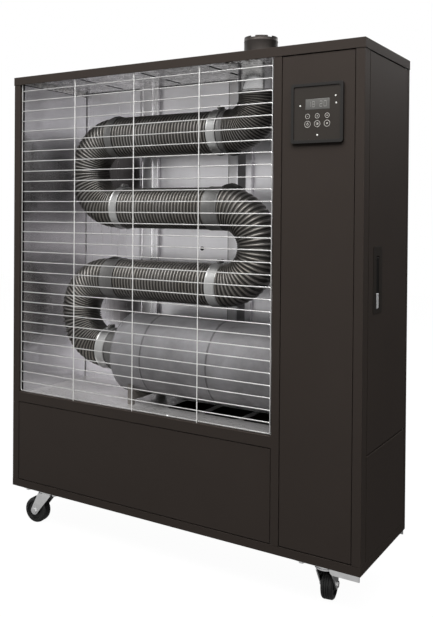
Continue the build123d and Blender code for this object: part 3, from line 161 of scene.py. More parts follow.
def streak_group():
    """Stretched scratches along one axis, cloudy stain and a light normal for metals."""
    group, source, sink = new_group(
        "streak",
        [
            ("Stretch", "NodeSocketVector", (4.0, 400.0, 400.0)),
            ("Stain scale", "NodeSocketFloat", 9.0),
            ("Bump", "NodeSocketFloat", 0.1),
        ],
        [
            ("Streak", "NodeSocketFloat"),
            ("Stain", "NodeSocketFloat"),
            ("Normal", "NodeSocketVector"),
        ],
    )
    place = group.nodes.new("ShaderNodeTexCoord")
    scaled = group.nodes.new("ShaderNodeVectorMath")
    scaled.operation = "MULTIPLY"
    group.links.new(place.outputs["Object"], scaled.inputs[0])
    group.links.new(source.outputs["Stretch"], scaled.inputs[1])
    streak = noise_node(group, scaled.outputs["Vector"], 1.0, 3.0)
    stain = noise_node(group, place.outputs["Object"], 9.0, 5.0, 0.62)
    group.links.new(source.outputs["Stain scale"], stain.inputs["Scale"])
    bump = group.nodes.new("ShaderNodeBump")
    bump.inputs["Distance"].default_value = 0.0003
    group.links.new(source.outputs["Bump"], bump.inputs["Strength"])
    group.links.new(streak.outputs["Fac"], bump.inputs["Height"])
    group.links.new(streak.outputs["Fac"], sink.inputs["Streak"])
    group.links.new(stain.outputs["Fac"], sink.inputs["Stain"])
    group.links.new(bump.outputs["Normal"], sink.inputs["Normal"])
    return group


GRAIN = grain_group()
STREAK = streak_group()


def start_material(name, metallic):
    material = bpy.data.materials.new(name)
    material.use_nodes = True
    tree = material.node_tree
    shader = tree.nodes["Principled BSDF"]
    shader.inputs["Metallic"].default_value = metallic
    return material, tree, shader


def ramp(tree, value, stops, target=None):
    """Colour or grey stops driven by a mask."""
    node = tree.nodes.new("ShaderNodeValToRGB")
    node.color_ramp.elements[0].position = stops[0][0]
    node.color_ramp.elements[0].color = (*stops[0][1], 1)
    node.color_ramp.elements[1].position = stops[-1][0]
    node.color_ramp.elements[1].color = (*stops[-1][1], 1)
    for position, colour in stops[1:-1]:
        element = node.color_ramp.elements.new(position)
        element.color = (*colour, 1)
    tree.links.new(value, node.inputs["Fac"])
    if target is not None:
        tree.links.new(node.outputs["Color"], target)
    return node


def scaled_colour(colour, factor):
    return tuple(channel * factor for channel in colour)


def map_range(tree, value, source, target=(0.0, 1.0)):
    """Carries a value from one range to another, held at both ends."""
    node = tree.nodes.new("ShaderNodeMapRange")
    labels = ("From Min", "From Max", "To Min", "To Max")
    for label, number in zip(labels, (*source, *target)):
        node.inputs[label].default_value = number
    tree.links.new(value, node.inputs["Value"])
    return node.outputs["Result"]


def combine(tree, operation, *values):
    """A math node whose inputs are sockets or plain numbers."""
    node = tree.nodes.new("ShaderNodeMath")
    node.operation = operation
    for socket, value in zip(node.inputs, values):
        if isinstance(value, float):
            socket.default_value = value
        else:
            tree.links.new(value, socket)
    return node.outputs["Value"]


def mixed_colour(tree, blend, first, second, factor=1.0):
    """A colour mix whose second colour and factor are sockets or plain values."""
    node = tree.nodes.new("ShaderNodeMix")
    node.data_type = "RGBA"
    node.blend_type = blend
    tree.links.new(first, node.inputs["A"])
    for label, value in (("B", second), ("Factor", factor)):
        if isinstance(value, (float, tuple)):
            node.inputs[label].default_value = value
        else:
            tree.links.new(value, node.inputs[label])
    return node.outputs["Result"]


def place_on(tree, source="Object"):
    """The place of a point on the surface, in metres."""
    return tree.nodes.new("ShaderNodeTexCoord").outputs[source]


def coordinate(tree, place, axis):
    """One coordinate of a place."""
    split = tree.nodes.new("ShaderNodeSeparateXYZ")
    tree.links.new(place, split.inputs["Vector"])
    return split.outputs[axis]


# Most of a noise texture's values lie between these
NOISE_MIDDLE = (0.3, 0.7)


def coated(name, colour, rough=(0.42, 0.55), scale=900.0, bump=0.2, spread=0.14, shine=0.5):
    """Powder coat, plastic or rubber: a slightly uneven colour over a fine grain."""
    material, tree, shader = start_material(name, 0.0)
    shader.inputs["Specular IOR Level"].default_value = shine
    grain = tree.nodes.new("ShaderNodeGroup")
    grain.node_tree = GRAIN
    grain.inputs["Scale"].default_value = scale
    grain.inputs["Bump"].default_value = bump
    ramp(
        tree,
        grain.outputs["Cloud"],
        ((0.3, scaled_colour(colour, 1 - spread)), (0.7, scaled_colour(colour, 1 + spread))),
        shader.inputs["Base Color"],
    )
    roughness = map_range(tree, grain.outputs["Speckle"], NOISE_MIDDLE, rough)
    tree.links.new(roughness, shader.inputs["Roughness"])
    tree.links.new(grain.outputs["Normal"], shader.inputs["Normal"])
    return material


def bare(
    name,
    colour,
    rough,
    stretch=(4.0, 400.0, 400.0),
    stain=9.0,
    bump=0.1,
    spread=0.2,
    tint=None,
    metallic=1.0,
):
    """Bare metal: scratched along one axis and stained in clouds, the stains in the tint."""
    material, tree, shader = start_material(name, metallic)
    streak = tree.nodes.new("ShaderNodeGroup")
    streak.node_tree = STREAK
    streak.inputs["Stretch"].default_value = stretch
    streak.inputs["Stain scale"].default_value = stain
    streak.inputs["Bump"].default_value = bump
    tint = tint or colour
    ramp(
        tree,
        streak.outputs["Stain"],
        ((0.3, scaled_colour(tint, 1 - spread)), (0.68, scaled_colour(colour, 1 + spread))),
        shader.inputs["Base Color"],
    )
    roughness = map_range(tree, streak.outputs["Streak"], NOISE_MIDDLE, rough)
    tree.links.new(roughness, shader.inputs["Roughness"])
    tree.links.new(streak.outputs["Normal"], shader.inputs["Normal"])
    return material


# Cabinet and castors
PAINT = coated(
    "cabinet_paint", (0.0370, 0.0297, 0.0255), rough=(0.5, 0.62), scale=1100.0, bump=0.12,
    spread=0.05, shine=0.07,
)
ZINC = bare(
    "zinc_plate", (0.74, 0.74, 0.74), rough=(0.26, 0.4), stretch=(60.0, 60.0, 60.0), stain=25.0,
    bump=0.08, spread=0.1,
)
RUBBER = coated(
    "wheel_rubber", (0.010, 0.010, 0.0095), rough=(0.38, 0.52), scale=500.0, bump=0.25, spread=0.14,
    shine=0.4,
)

# Reflectors, ceiling and deck
REFLECTOR = bare(
    "reflector", (0.85, 0.836, 0.86), rough=(0.3, 0.42), stretch=(500.0, 500.0, 3.0), stain=5.0,
    bump=0.04, spread=0.06, metallic=0.75,
)
# A slightly lighter copy of the reflector for the left of the rear sheet, carrying two patches of
# painted shade behind the tube's left bends
SHADE_PATCHED_REFLECTOR = bare(
    "reflector_painted_shade_patches", (0.90, 0.885, 0.91), rough=(0.26, 0.38), stretch=(500.0, 500.0, 3.0),
    stain=5.0, bump=0.03, spread=0.06, metallic=0.8,
)
SIDE_REFLECTOR = bare(
    "side_reflector", (0.84, 0.83, 0.855), rough=(0.17, 0.26), stretch=(60.0, 60.0, 3.0), stain=7.0,
    bump=0.01, spread=0.1, metallic=0.85,
)
RIDGE = bare(
    "ridge_steel", (0.93, 0.92, 0.94), rough=(0.14, 0.22), stretch=(60.0, 60.0, 3.0), stain=9.0,
    bump=0.01, spread=0.04, metallic=0.9,
)
FLANGE = bare(
    "flange_steel", (0.97, 0.955, 0.97), rough=(0.34, 0.46), stretch=(500.0, 500.0, 3.0), stain=5.0,
    bump=0.03, spread=0.03, metallic=0.5,
)
# Flat grey for painted shade: the right rail's channel and the corner line of the rear sheet
SHADE_GREY = coated(
    "painted_shade_grey", (0.38, 0.372, 0.38), rough=(0.5, 0.6), scale=500.0, bump=0.1, spread=0.2,
    shine=0.3,
)
FOIL = bare(
    "ceiling_foil", (0.66, 0.65, 0.64), rough=(0.22, 0.36), stretch=(120.0, 190.0, 120.0),
    stain=70.0, bump=1.0, spread=0.42, metallic=0.9,
)
CRUMPLED = bare(
    "crumpled_foil", (0.68, 0.67, 0.66), rough=(0.1, 0.2), stretch=(120.0, 190.0, 120.0),
    stain=70.0, bump=0.9, spread=0.2, metallic=1.0,
)
DECK = bare(
    "deck_steel", (0.72, 0.705, 0.70), rough=(0.26, 0.38), stretch=(40.0, 400.0, 40.0), stain=6.0,
    bump=0.05, spread=0.12, metallic=0.7,
)
STAND = coated(
    "stand_steel", (0.14, 0.13, 0.12), rough=(0.5, 0.62), scale=500.0, bump=0.1, spread=0.15,
    shine=0.3,
)
# Black for the dark clips, dark gaps and a blackened screw head, and also painted shade: dark
# strips along the ceiling's left and rear edges
SOOT_AND_SHADE = coated(
    "blackened_and_painted_shade", (0.020, 0.019, 0.018), rough=(0.55, 0.7), scale=500.0, bump=0.2, spread=0.2,
    shine=0.2,
)

# Tube, bands and drum
CREST = bare(
    "tube_crest", (0.185, 0.18, 0.173), rough=(0.4, 0.5), stretch=(60.0, 60.0, 60.0), stain=12.0,
    bump=0.04, spread=0.2, tint=(0.171, 0.157, 0.139),
)
# The tube's material darkened for the grooves between ribs: painted shade
GROOVE_SHADED = bare(
    "tube_groove_painted_shade", (0.06, 0.057, 0.053), rough=(0.5, 0.62), stretch=(60.0, 60.0, 60.0), stain=12.0,
    bump=0.04, spread=0.2,
)
RING = bare(
    "ring_steel", (0.15, 0.148, 0.145), rough=(0.5, 0.6), stretch=(200.0, 6.0, 6.0), stain=12.0,
    bump=0.05, spread=0.12,
)
BAND = bare(
    "band_steel", (0.39, 0.39, 0.385), rough=(0.36, 0.48), stretch=(200.0, 6.0, 6.0), stain=20.0,
    bump=0.04, spread=0.08,
)
DRUM = bare(
    "drum_steel", (0.205, 0.203, 0.21), rough=(0.5, 0.62), stretch=(9.0, 30.0, 9.0), stain=7.0,
    bump=0.1, spread=0.3, tint=(0.175, 0.168, 0.172), metallic=0.8,
)
SEAM = bare(
    "drum_seam", (0.125, 0.122, 0.125), rough=(0.5, 0.62), stretch=(9.0, 30.0, 9.0), stain=7.0,
    bump=0.1, spread=0.2,
)

# Guard and flue
WIRE = bare(
    "guard_wire", (0.58, 0.575, 0.565), rough=(0.34, 0.44), stretch=(30.0, 30.0, 30.0), stain=30.0,
    bump=0.02, spread=0.08,
)
# A lighter copy of the guard wire for the uprights and the foot bead: painted light
LIGHTER_WIRE = bare(
    "guard_wire_painted_light", (0.78, 0.775, 0.76), rough=(0.32, 0.42), stretch=(30.0, 30.0, 30.0),
    stain=30.0, bump=0.02, spread=0.05, metallic=0.8,
)
STAINLESS = bare(
    "connector_steel", (0.46, 0.46, 0.46), rough=(0.12, 0.24), stretch=(90.0, 90.0, 2.0),
    stain=18.0, bump=0.25, spread=0.1, metallic=0.95,
)
FLUE = bare(
    "flue_steel", (0.045, 0.040, 0.037), rough=(0.42, 0.55), stretch=(200.0, 200.0, 5.0),
    stain=14.0, bump=0.06, spread=0.2,
)

# Burner bay
DARK_METAL = coated("burner_metal", (0.10, 0.11, 0.12), rough=(0.35, 0.5), scale=500.0, bump=0.3)
MOTOR_METAL = bare(
    "motor_metal", (0.5, 0.5, 0.5), rough=(0.45, 0.6), stretch=(300.0, 300.0, 300.0), stain=20.0,
    bump=0.25, spread=0.1,
)
TANK = coated("tank_metal", (0.05, 0.05, 0.05), rough=(0.35, 0.5), scale=400.0, bump=0.3)
COPPER = bare(
    "copper_line", (0.72, 0.42, 0.27), rough=(0.25, 0.4), stretch=(50.0, 50.0, 50.0), stain=20.0,
    bump=0.05, spread=0.15,
)
BOARD = coated("board_green", (0.03, 0.15, 0.08), rough=(0.3, 0.4), scale=600.0, bump=0.1)
BLACK = coated(
    "black_plastic", (0.010, 0.010, 0.010), rough=(0.3, 0.42), scale=700.0, bump=0.2, spread=0.14,
    shine=0.35,
)

# Controls and latch
BEZEL = coated(
    "bezel_plastic", (0.010, 0.009, 0.008), rough=(0.3, 0.4), scale=1200.0, bump=0.1, spread=0.1,
    shine=0.3,
)
PANEL = coated(
    "keypad_film", (0.029, 0.0245, 0.021), rough=(0.45, 0.55), scale=1500.0, bump=0.1, spread=0.08,
    shine=0.15,
)
INK = coated("light_ink", (0.55, 0.53, 0.50), rough=(0.5, 0.6), scale=1500.0, bump=0.05)
GLASS = coated(
    "display_glass", (0.105, 0.102, 0.096), rough=(0.1, 0.16), scale=300.0, bump=0.0, spread=0.05,
)
DIGIT = coated(
    "display_segment", (0.33, 0.32, 0.30), rough=(0.3, 0.4), scale=900.0, bump=0.0, spread=0.05,
)
LAMP = coated(
    "lamp_white", (0.85, 0.85, 0.82), rough=(0.3, 0.4), scale=900.0, bump=0.0, spread=0.02,
)
LATCH = coated(
    "latch_plastic", (0.017, 0.0137, 0.0113), rough=(0.5, 0.6), scale=1000.0, bump=0.1, spread=0.05,
    shine=0.16,
)
GRIP = coated(
    "latch_grip", (0.005, 0.0045, 0.004), rough=(0.45, 0.55), scale=1000.0, bump=0.1, spread=0.1,
    shine=0.1,
)
CHROME = bare(
    "latch_chrome", (0.92, 0.92, 0.92), rough=(0.2, 0.3), stretch=(20.0, 20.0, 20.0), stain=10.0,
    bump=0.02, spread=0.04, metallic=0.45,
)

# Floor
FLOOR = coated(
    "floor_pale", (0.05, 0.05, 0.05), rough=(0.8, 0.9), scale=300.0, bump=0.0, spread=0.01,
    shine=0.0,
)


def tinted(material, colours):
    """Multiplies a material's colour by another."""
    tree = material.node_tree
    target = tree.nodes["Principled BSDF"].inputs["Base Color"]
    tree.links.new(mixed_colour(tree, "MULTIPLY", target.links[0].from_socket, colours), target)


def paint_shade_patch(material, centre, inner, outer, darkest):
    """A patch of painted shade: darkens a material's colour round its centre, fading out."""
    tree = material.node_tree
    away = tree.nodes.new("ShaderNodeVectorMath")
    away.operation = "DISTANCE"
    away.inputs[1].default_value = centre
    tree.links.new(place_on(tree), away.inputs[0])
    share = map_range(tree, away.outputs["Value"], (inner, outer))
    fade = ramp(tree, share, ((0.0, darkest), (1.0, (1.0, 1.0, 1.0))))
    fade.color_ramp.interpolation = "EASE"
    tinted(material, fade.outputs["Color"])


def paint_dark_band(material, low, high, stops):
    """Paints a darker band into a metal's colour by height, swayed by a cloud: painted dark
    reflection.
    """
    tree = material.node_tree
    place = place_on(tree)
    rise = map_range(tree, coordinate(tree, place, "Z"), (low, high))
    cloud = noise_node(tree, place, 5.0, 1.0)
    sway = combine(tree, "MULTIPLY_ADD", cloud.outputs["Fac"], 0.3, rise)
    stain = ramp(tree, sway, stops)
    stain.color_ramp.interpolation = "EASE"
    tinted(material, stain.outputs["Color"])


# Painted shade on the reflectors: dark patches on the rear sheet behind the tube's left bends, and
# a darker band on the side sheet that paints a dark reflection
paint_shade_patch(SHADE_PATCHED_REFLECTOR, spot(-322, 250, 800), inner=0.05, outer=0.1, darkest=(0.11, 0.105, 0.10))
paint_shade_patch(SHADE_PATCHED_REFLECTOR, spot(-312, 250, 450), inner=0.03, outer=0.085, darkest=(0.42, 0.41, 0.40))
# The side sheet's darker band at mid-height is painted reflection of dark surroundings
paint_dark_band(
    SIDE_REFLECTOR,
    low=0.33,
    high=1.12,
    stops=(
        (0.15, (1.0, 1.0, 1.0)),
        (0.3, (0.95, 0.95, 0.95)),
        (0.5, (0.55, 0.54, 0.54)),
        (0.78, (0.5, 0.49, 0.49)),
        (0.98, (0.95, 0.95, 0.95)),
    ),
)

# Mesh tools


class Shape:
    """Gathers closed forms in one mesh. Lengths are in millimetres, places are vectors."""

    def __init__(self):
        self.mesh = bmesh.new()
        self.slot = 0

    def _face(self, verts):
        if len(set(verts)) < 3:
            return
        try:
            face = self.mesh.faces.new(verts)
        except ValueError:
            return
        face.material_index = self.slot

    def block(self, x, depth, height, bevel=0.6, segments=2):
        low, high = spot(x[0], depth[0], height[0]), spot(x[1], depth[1], height[1])
        made = bmesh.ops.create_cube(self.mesh, size=1.0)["verts"]
        for vert in made:
            for axis in range(3):
                share = vert.co[axis] + 0.5
                vert.co[axis] = low[axis] + share * (high[axis] - low[axis])
        self._round(made, bevel, segments)

    def _round(self, made, bevel, segments):
        faces = {face for vert in made for face in vert.link_faces}
        for face in faces:
            face.material_index = self.slot
        if bevel:
            edges = {edge for vert in made for edge in vert.link_edges}
            bmesh.ops.bevel(
                self.mesh,
                geom=list(edges),
                offset=bevel * MM,
                segments=segments,
                profile=0.5,
                affect="EDGES",
                clamp_overlap=True,
                material=self.slot,
            )

    def rings(self, loops, close_ends=True, close_round=False, slots=None):
        """Skins a list of equal closed loops of points, with a slot for each stretch."""
        made = [[self.mesh.verts.new(point) for point in loop] for loop in loops]
        pairs = list(zip(made, made[1:]))
        if close_round:
            pairs.append((made[-1], made[0]))
        for stretch, (first, second) in enumerate(pairs):
            if slots:
                self.slot = slots[stretch]
            count = len(first)
            for index in range(count):
                after = (index + 1) % count
                self._face([first[index], first[after], second[after], second[index]])
        if close_ends and not close_round:
            self._face(list(reversed(made[0])))
            self._face(made[-1])

    def lathe(
        self, centre, axis, profile, segments=64, close_ends=True, close_round=False, slots=None
    ):
        """Turns (along, radius) pairs round an axis."""
        axis = Vector(axis).normalized()
        side = axis.orthogonal().normalized()
        other = axis.cross(side)
        loops = []
        for along, radius in profile:
            middle = centre + axis * along * MM
            loops.append(
                [
                    middle
                    + (side * math.cos(turn) + other * math.sin(turn)) * max(radius, 0.01) * MM
                    for turn in (2 * math.pi * k / segments for k in range(segments))
                ]
            )
        self.rings(loops, close_ends, close_round, slots)

    def wire(self, path, radius, segments=10):
        """A round wire along points, with its frame carried from point to point."""
        loops = []
        side = None
        for index, point in enumerate(path):
            before = path[max(index - 1, 0)]
            after = path[min(index + 1, len(path) - 1)]
            along = (after - before).normalized()
            if side is None:
                side = along.orthogonal().normalized()
            side = (side - along * side.dot(along)).normalized()
            other = along.cross(side)
            loops.append(
                [
                    point + (side * math.cos(turn) + other * math.sin(turn)) * radius * MM
                    for turn in (2 * math.pi * k / segments for k in range(segments))
                ]
            )
        self.rings(loops)

    def sheet(self, point, columns, rows, thickness, outward):
        """A thin sheet: point(u, v) is its seen face, and it is thickened away from outward."""
        back = -Vector(outward).normalized() * thickness * MM
        faces = []
        for shift in (Vector(), back):
            faces.append(
                [
                    [self.mesh.verts.new(point(u, v) + shift) for u in columns]
                    for v in rows
                ]
            )
        for grid in faces:
            for low, high in zip(grid, grid[1:]):
                for index in range(len(low) - 1):
                    self._face([low[index], low[index + 1], high[index + 1], high[index]])
        front, rear = faces
        rim_front = front[0] + [row[-1] for row in front[1:]]
        rim_front += list(reversed(front[-1][:-1])) + [row[0] for row in reversed(front[1:-1])]
        rim_rear = rear[0] + [row[-1] for row in rear[1:]]
        rim_rear += list(reversed(rear[-1][:-1])) + [row[0] for row in reversed(rear[1:-1])]
        count = len(rim_front)
        for index in range(count):
            after = (index + 1) % count
            self._face([rim_front[index], rim_front[after], rim_rear[after], rim_rear[index]])

    def prism(self, outline, direction, length, bevel=0.0, segments=2):
        """Pushes a flat outline of points along a direction."""
        push = Vector(direction).normalized() * length * MM
        near = [self.mesh.verts.new(point) for point in outline]
        far = [self.mesh.verts.new(point + push) for point in outline]
        count = len(near)
        for index in range(count):
            after = (index + 1) % count
            self._face([near[index], near[after], far[after], far[index]])
        self._face(list(reversed(near)))
        self._face(far)
        self._round(near + far, bevel, segments)


def piece(name, shape, materials, body, replaces=(), slot=None, angle=35):
    """Turns a gathered shape into an object that rides a body."""
    bmesh.ops.recalc_face_normals(shape.mesh, faces=shape.mesh.faces)
    limit = math.radians(angle)
    for face in shape.mesh.faces:
        face.smooth = True
    for edge in shape.mesh.edges:
        edge.smooth = edge.calc_face_angle(0.0) < limit
    data = bpy.data.meshes.new(name)
    shape.mesh.to_mesh(data)
    shape.mesh.free()
    made = bpy.data.objects.new(name, data)
    bpy.context.scene.collection.objects.link(made)
    for material in materials if isinstance(materials, (list, tuple)) else [materials]:
        data.materials.append(material)
    if replaces:
        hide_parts(*replaces)
    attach(made, body)
    return made


def body_of(node):
    return nodes[node]["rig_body"]


def slot_of(node):
    for entry in frame["record"]["subparts"]:
        if entry["node"] == node:
            return entry["material_slot"]
    return None


def stand_in(name, shape, materials, node, **shading):
    """A new piece that replaces a CAD node and rides its body."""
    return piece(name, shape, materials, body_of(node), [node], slot_of(node), **shading)


def dress(node, material, bevel=0.7, segments=3):
    """Copies a CAD node into a new piece with rounded sheet edges."""
    shape = Shape()
    shape.mesh.from_mesh(nodes[node].data)
    bmesh.ops.remove_doubles(shape.mesh, verts=shape.mesh.verts, dist=2e-5)
    bmesh.ops.dissolve_limit(
        shape.mesh,
        angle_limit=math.radians(1),
        verts=shape.mesh.verts,
        edges=shape.mesh.edges,
    )
    made = stand_in(f"{node}_dressed", shape, material, node)
    edge = made.modifiers.new("rounded", "BEVEL")
    edge.limit_method = "ANGLE"
    edge.angle_limit = math.radians(40)
    edge.width = bevel * MM
    edge.segments = segments
    edge.use_clamp_overlap = True
    edge.harden_normals = True
    return made


def repaint(node, material):
    """Gives a carried-over CAD node its material."""
    data = nodes[node].data
    data.materials.clear()
    data.materials.append(material)


SHEET_EDGE, FOLDED_EDGE = 0.7, 1.2
FOLDED = ("right_front_post", "control_column_panel")

for node in (
    "base_pan",
    "left_side_panel",
    "right_front_post",
    "window_frame",
    "lower_front_panel",
    "control_column_panel",
    "side_lower_panel",
    "rear_panel",
    "burner_door",
    "top_cover",
):
    dress(node, PAINT, FOLDED_EDGE if node in FOLDED else SHEET_EDGE)

for node, material in (
    ("power_inlet", BLACK),
    ("door_hinge_pins", ZINC),
    ("latch_tongue", ZINC),
    ("partition_wall", REFLECTOR),
    ("burner_housing", DARK_METAL),
    ("burner_motor", MOTOR_METAL),
    ("burner_fan", MOTOR_METAL),
    ("blast_tube", RING),
    ("ignition_transformer", BLACK),
    ("fuel_pump", DARK_METAL),
    ("fuel_tank", TANK),
    ("fuel_cap", BLACK),
    ("fuel_line", COPPER),
    ("control_board", BOARD),
):
    repaint(node, material)

# Radiant tube

TUBE_DEPTH = 132.5
DRUM_HEIGHT, LOWER_PASS, MIDDLE_PASS, TOP_PASS = 353.0, 532.0, 710.5, 889.0
BEND, LOWER_BEND = (MIDDLE_PASS - LOWER_PASS) / 2, (LOWER_PASS - DRUM_HEIGHT) / 2
CREST_RADIUS, ROOT_RADIUS, BORE_RADIUS = 50.0, 46.2, 45.5
RIB_PITCH, ELBOW_PITCH = 9.0, 4.7
ELBOW_LEAD = 7.5
LEFT_RING, RIGHT_RING, LOWER_RING, ELBOW_RING = -232.5, 65.0, -236.0, 89.0
LEFT_CLAMP, RIGHT_CLAMP, LOWER_CLAMP, TOP_CLAMP = -214.5, 69.0, -255.0, 68.0
FLUE_X = 171.5
JOINT_GAP = 0.6
# Stretches in a groove take the darker material, painted shade
ON_CREST, IN_GROOVE = 0, 1
# One rib: share of the pitch, share of the depth, and the finish of the stretch that follows
RIB_SHAPE = (
    (0.0, 0.0, IN_GROOVE),
    (0.30, 0.0, IN_GROOVE),
    (0.38, 0.62, ON_CREST),
    (0.48, 0.94, ON_CREST),
    (0.60, 1.0, ON_CREST),
    (0.74, 0.9, ON_CREST),
    (0.84, 0.5, IN_GROOVE),
    (0.92, 0.0, IN_GROOVE),
)


def level_run(start, height):
    """Centre and heading at a run along a level tube."""

    def station(run):
        return spot(start + run, TUBE_DEPTH, height), Vector((1, 0, 0))

    return station


def bent_run(start, height, lead, radius, side, sweep):
    """Centre and heading at a run along a tube that turns upwards."""

    def station(run):
        turn = min(max(run - lead, 0), radius * sweep) / radius
        level = min(run, lead)
        after = max(run - lead - radius * sweep, 0)
        x = start + side * (level + radius * math.sin(turn) + after * math.cos(turn))
        rise = radius * (1 - math.cos(turn)) + after * math.sin(turn)
        heading = Vector((side * math.cos(turn), 0, math.sin(turn)))
        return spot(x, TUBE_DEPTH, height + rise), heading

    return station


def hoop(place_and_heading, radius, segments=64):
    """A ring of points square to the tube."""
    centre, heading = place_and_heading
    side = Vector((0, 1, 0))
    other = heading.cross(side)
    return [
        centre + (side * math.cos(turn) + other * math.sin(turn)) * radius * MM
        for turn in (2 * math.pi * k / segments for k in range(segments))
    ]


def ribbed(node, station, length, pitch=RIB_PITCH):
    """A corrugated tube, open at both ends: bright crests, and grooves in a darker copy of the
    material as painted shade.
    """
    shape = Shape()
    ribs = round(length / pitch)
    step = length / ribs
    depth = CREST_RADIUS - ROOT_RADIUS
    skin = []
    slots = []
    for rib in range(ribs):
        for share, swell, finish in RIB_SHAPE:
            skin.append(hoop(station((rib + share) * step), ROOT_RADIUS + depth * swell))
            slots.append(finish)
    skin.append(hoop(station(length), ROOT_RADIUS))
    slots.append(IN_GROOVE)
    bore = [hoop(station(length * index / ribs), BORE_RADIUS) for index in range(ribs, -1, -1)]
    slots += [IN_GROOVE] * len(bore)
    shape.rings(skin + bore, close_round=True, slots=slots)
    stand_in(f"{node}_ribs", shape, [CREST, GROOVE_SHADED], node, angle=75)


def ribbed_level(node, start, end, height):
    ribbed(node, level_run(start, height), end - start)


def ribbed_bend(
    node, start, height, radius, lead, after, side=1, sweep=math.pi, pitch=RIB_PITCH
):
    """A bend with a straight lead before it and a straight end after it."""
    station = bent_run(start, height, lead, radius, side, sweep)
    ribbed(node, station, lead + radius * sweep + after, pitch)


ribbed_level("tube_pass_top", LEFT_RING + JOINT_GAP, ELBOW_RING - JOINT_GAP, TOP_PASS)
ribbed_level("tube_pass_middle", LEFT_CLAMP + JOINT_GAP, RIGHT_RING - JOINT_GAP, MIDDLE_PASS)
ribbed_level("tube_pass_lower", LOWER_RING + JOINT_GAP, RIGHT_CLAMP - JOINT_GAP, LOWER_PASS)
ribbed_bend("tube_bend_left", LEFT_CLAMP, MIDDLE_PASS, BEND, lead=23.5, after=5.5, side=-1)
ribbed_bend("tube_bend_right", RIGHT_CLAMP, LOWER_PASS, BEND, lead=12.0, after=16.0)
ribbed_bend("tube_bend_lower", LOWER_CLAMP, DRUM_HEIGHT, LOWER_BEND, lead=11.0, after=30.0, side=-1)
ribbed_bend(
    "flue_elbow",
    ELBOW_RING,
    TOP_PASS,
    FLUE_X - ELBOW_RING - ELBOW_LEAD,
    lead=ELBOW_LEAD,
    after=21.0,
    sweep=math.pi / 2,
    pitch=ELBOW_PITCH,
)

# Coupling rings and clamp bands

BAND_INNER = 50.3


def rolled_band(shape, x, height, width, lip):
    """A band with its two edges rolled outwards."""
    half = width / 2
    outer = BAND_INNER + 1.2
    profile = [
        (-half, BAND_INNER),
        (-half - 0.1, outer),
        (-half + 0.5, outer + lip * 0.8),
        (-half + 1.3, outer + lip),
        (-half + 2.2, outer + lip * 0.7),
        (-half + 3.2, outer),
        (half - 3.2, outer),
        (half - 2.2, outer + lip * 0.7),
        (half - 1.3, outer + lip),
        (half - 0.5, outer + lip * 0.8),
        (half + 0.1, outer),
        (half, BAND_INNER),
    ]
    shape.lathe(spot(x, TUBE_DEPTH, height), (1, 0, 0), profile, 96, close_round=True)


FOOT_FRONT, FOOT_BACK = 236.4, 238.0
LEFT_RAIL_X, RIGHT_RAIL_X = -225.0, 68.0


def hanger(shape, tail_x, height):
    """A strap from the band back to its rail, with its foot and screw."""
    start = TUBE_DEPTH + BAND_INNER + 0.6
    width = (tail_x - 10, tail_x + 10)
    shape.block(width, (start, FOOT_BACK), (height - 1, height + 1), 0.4)
    shape.block(width, (FOOT_FRONT, FOOT_BACK), (height - 1, height + 17), 0.4)
    screw = spot(tail_x, FOOT_FRONT + 0.2, height + 9)
    shape.lathe(screw, (0, -1, 0), ((0, 0), (0, 4.2), (1.6, 4.0), (2.5, 2.6), (2.7, 0)), 24)


def worm_screw(shape, x, height):
    """The clamp's screw housing, with a hexagon head on a washer."""
    seat = height + BAND_INNER + 0.6
    shape.block((x - 5, x + 5), (TUBE_DEPTH - 9, TUBE_DEPTH + 9), (seat, seat + 9), 2.2, 3)
    head = spot(x, TUBE_DEPTH - 9, seat + 4.8)
    shape.lathe(head, (0, -1, 0), ((0, 0), (0, 4.2), (4.0, 4.2), (4.6, 3.4), (4.6, 0)), 6)
    shape.lathe(head, (0, -1, 0), ((0, 0), (0, 5.2), (0.8, 5.2), (0.8, 0)), 24)


def saddle(shape, x, height, width, rise, side=1):
    """A low dark clip that straddles the crest of the tube, above it or below."""
    seat = BAND_INNER - 0.4
    flank = 16  # degrees round the tube
    loops = []
    for share in (-1.0, -0.8, -0.45, 0.0, 0.45, 0.8, 1.0):
        foot = seat - 0.6
        top = seat + rise * (1 - share * share) + 0.8
        section = ((-flank, foot), (flank, foot), (flank, top), (0, top + 0.6), (-flank, top))
        loop = []
        for angle, radius in section:
            turn = math.radians(angle)
            loop.append(
                spot(
                    x + share * width / 2,
                    TUBE_DEPTH + radius * math.sin(turn),
                    height + side * radius * math.cos(turn),
                )
            )
        loops.append(loop)
    shape.rings(loops)


BAND_SLOT, CLIP_SLOT = 0, 1

rings = Shape()
for x, height, width in (
    (LEFT_RING, TOP_PASS, 21.0),
    (ELBOW_RING, TOP_PASS, 14.0),
    (RIGHT_RING, MIDDLE_PASS, 40.0),
    (LOWER_RING, LOWER_PASS, 40.0),
):
    rolled_band(rings, x, height, width, 0.5)
hanger(rings, LEFT_RAIL_X, TOP_PASS)
hanger(rings, RIGHT_RAIL_X, MIDDLE_PASS)
hanger(rings, LEFT_RAIL_X, LOWER_PASS)
rings.slot = CLIP_SLOT
saddle(rings, LEFT_RING - 2, TOP_PASS, 22, 3)
saddle(rings, RIGHT_RING + 33, MIDDLE_PASS, 42, 8)
saddle(rings, LOWER_RING - 8, LOWER_PASS, 36, 4)
saddle(rings, ELBOW_RING + 14, TOP_PASS, 30, 6, -1)
stand_in("coupling_rings_rolled", rings, [RING, SOOT_AND_SHADE], "coupling_rings")

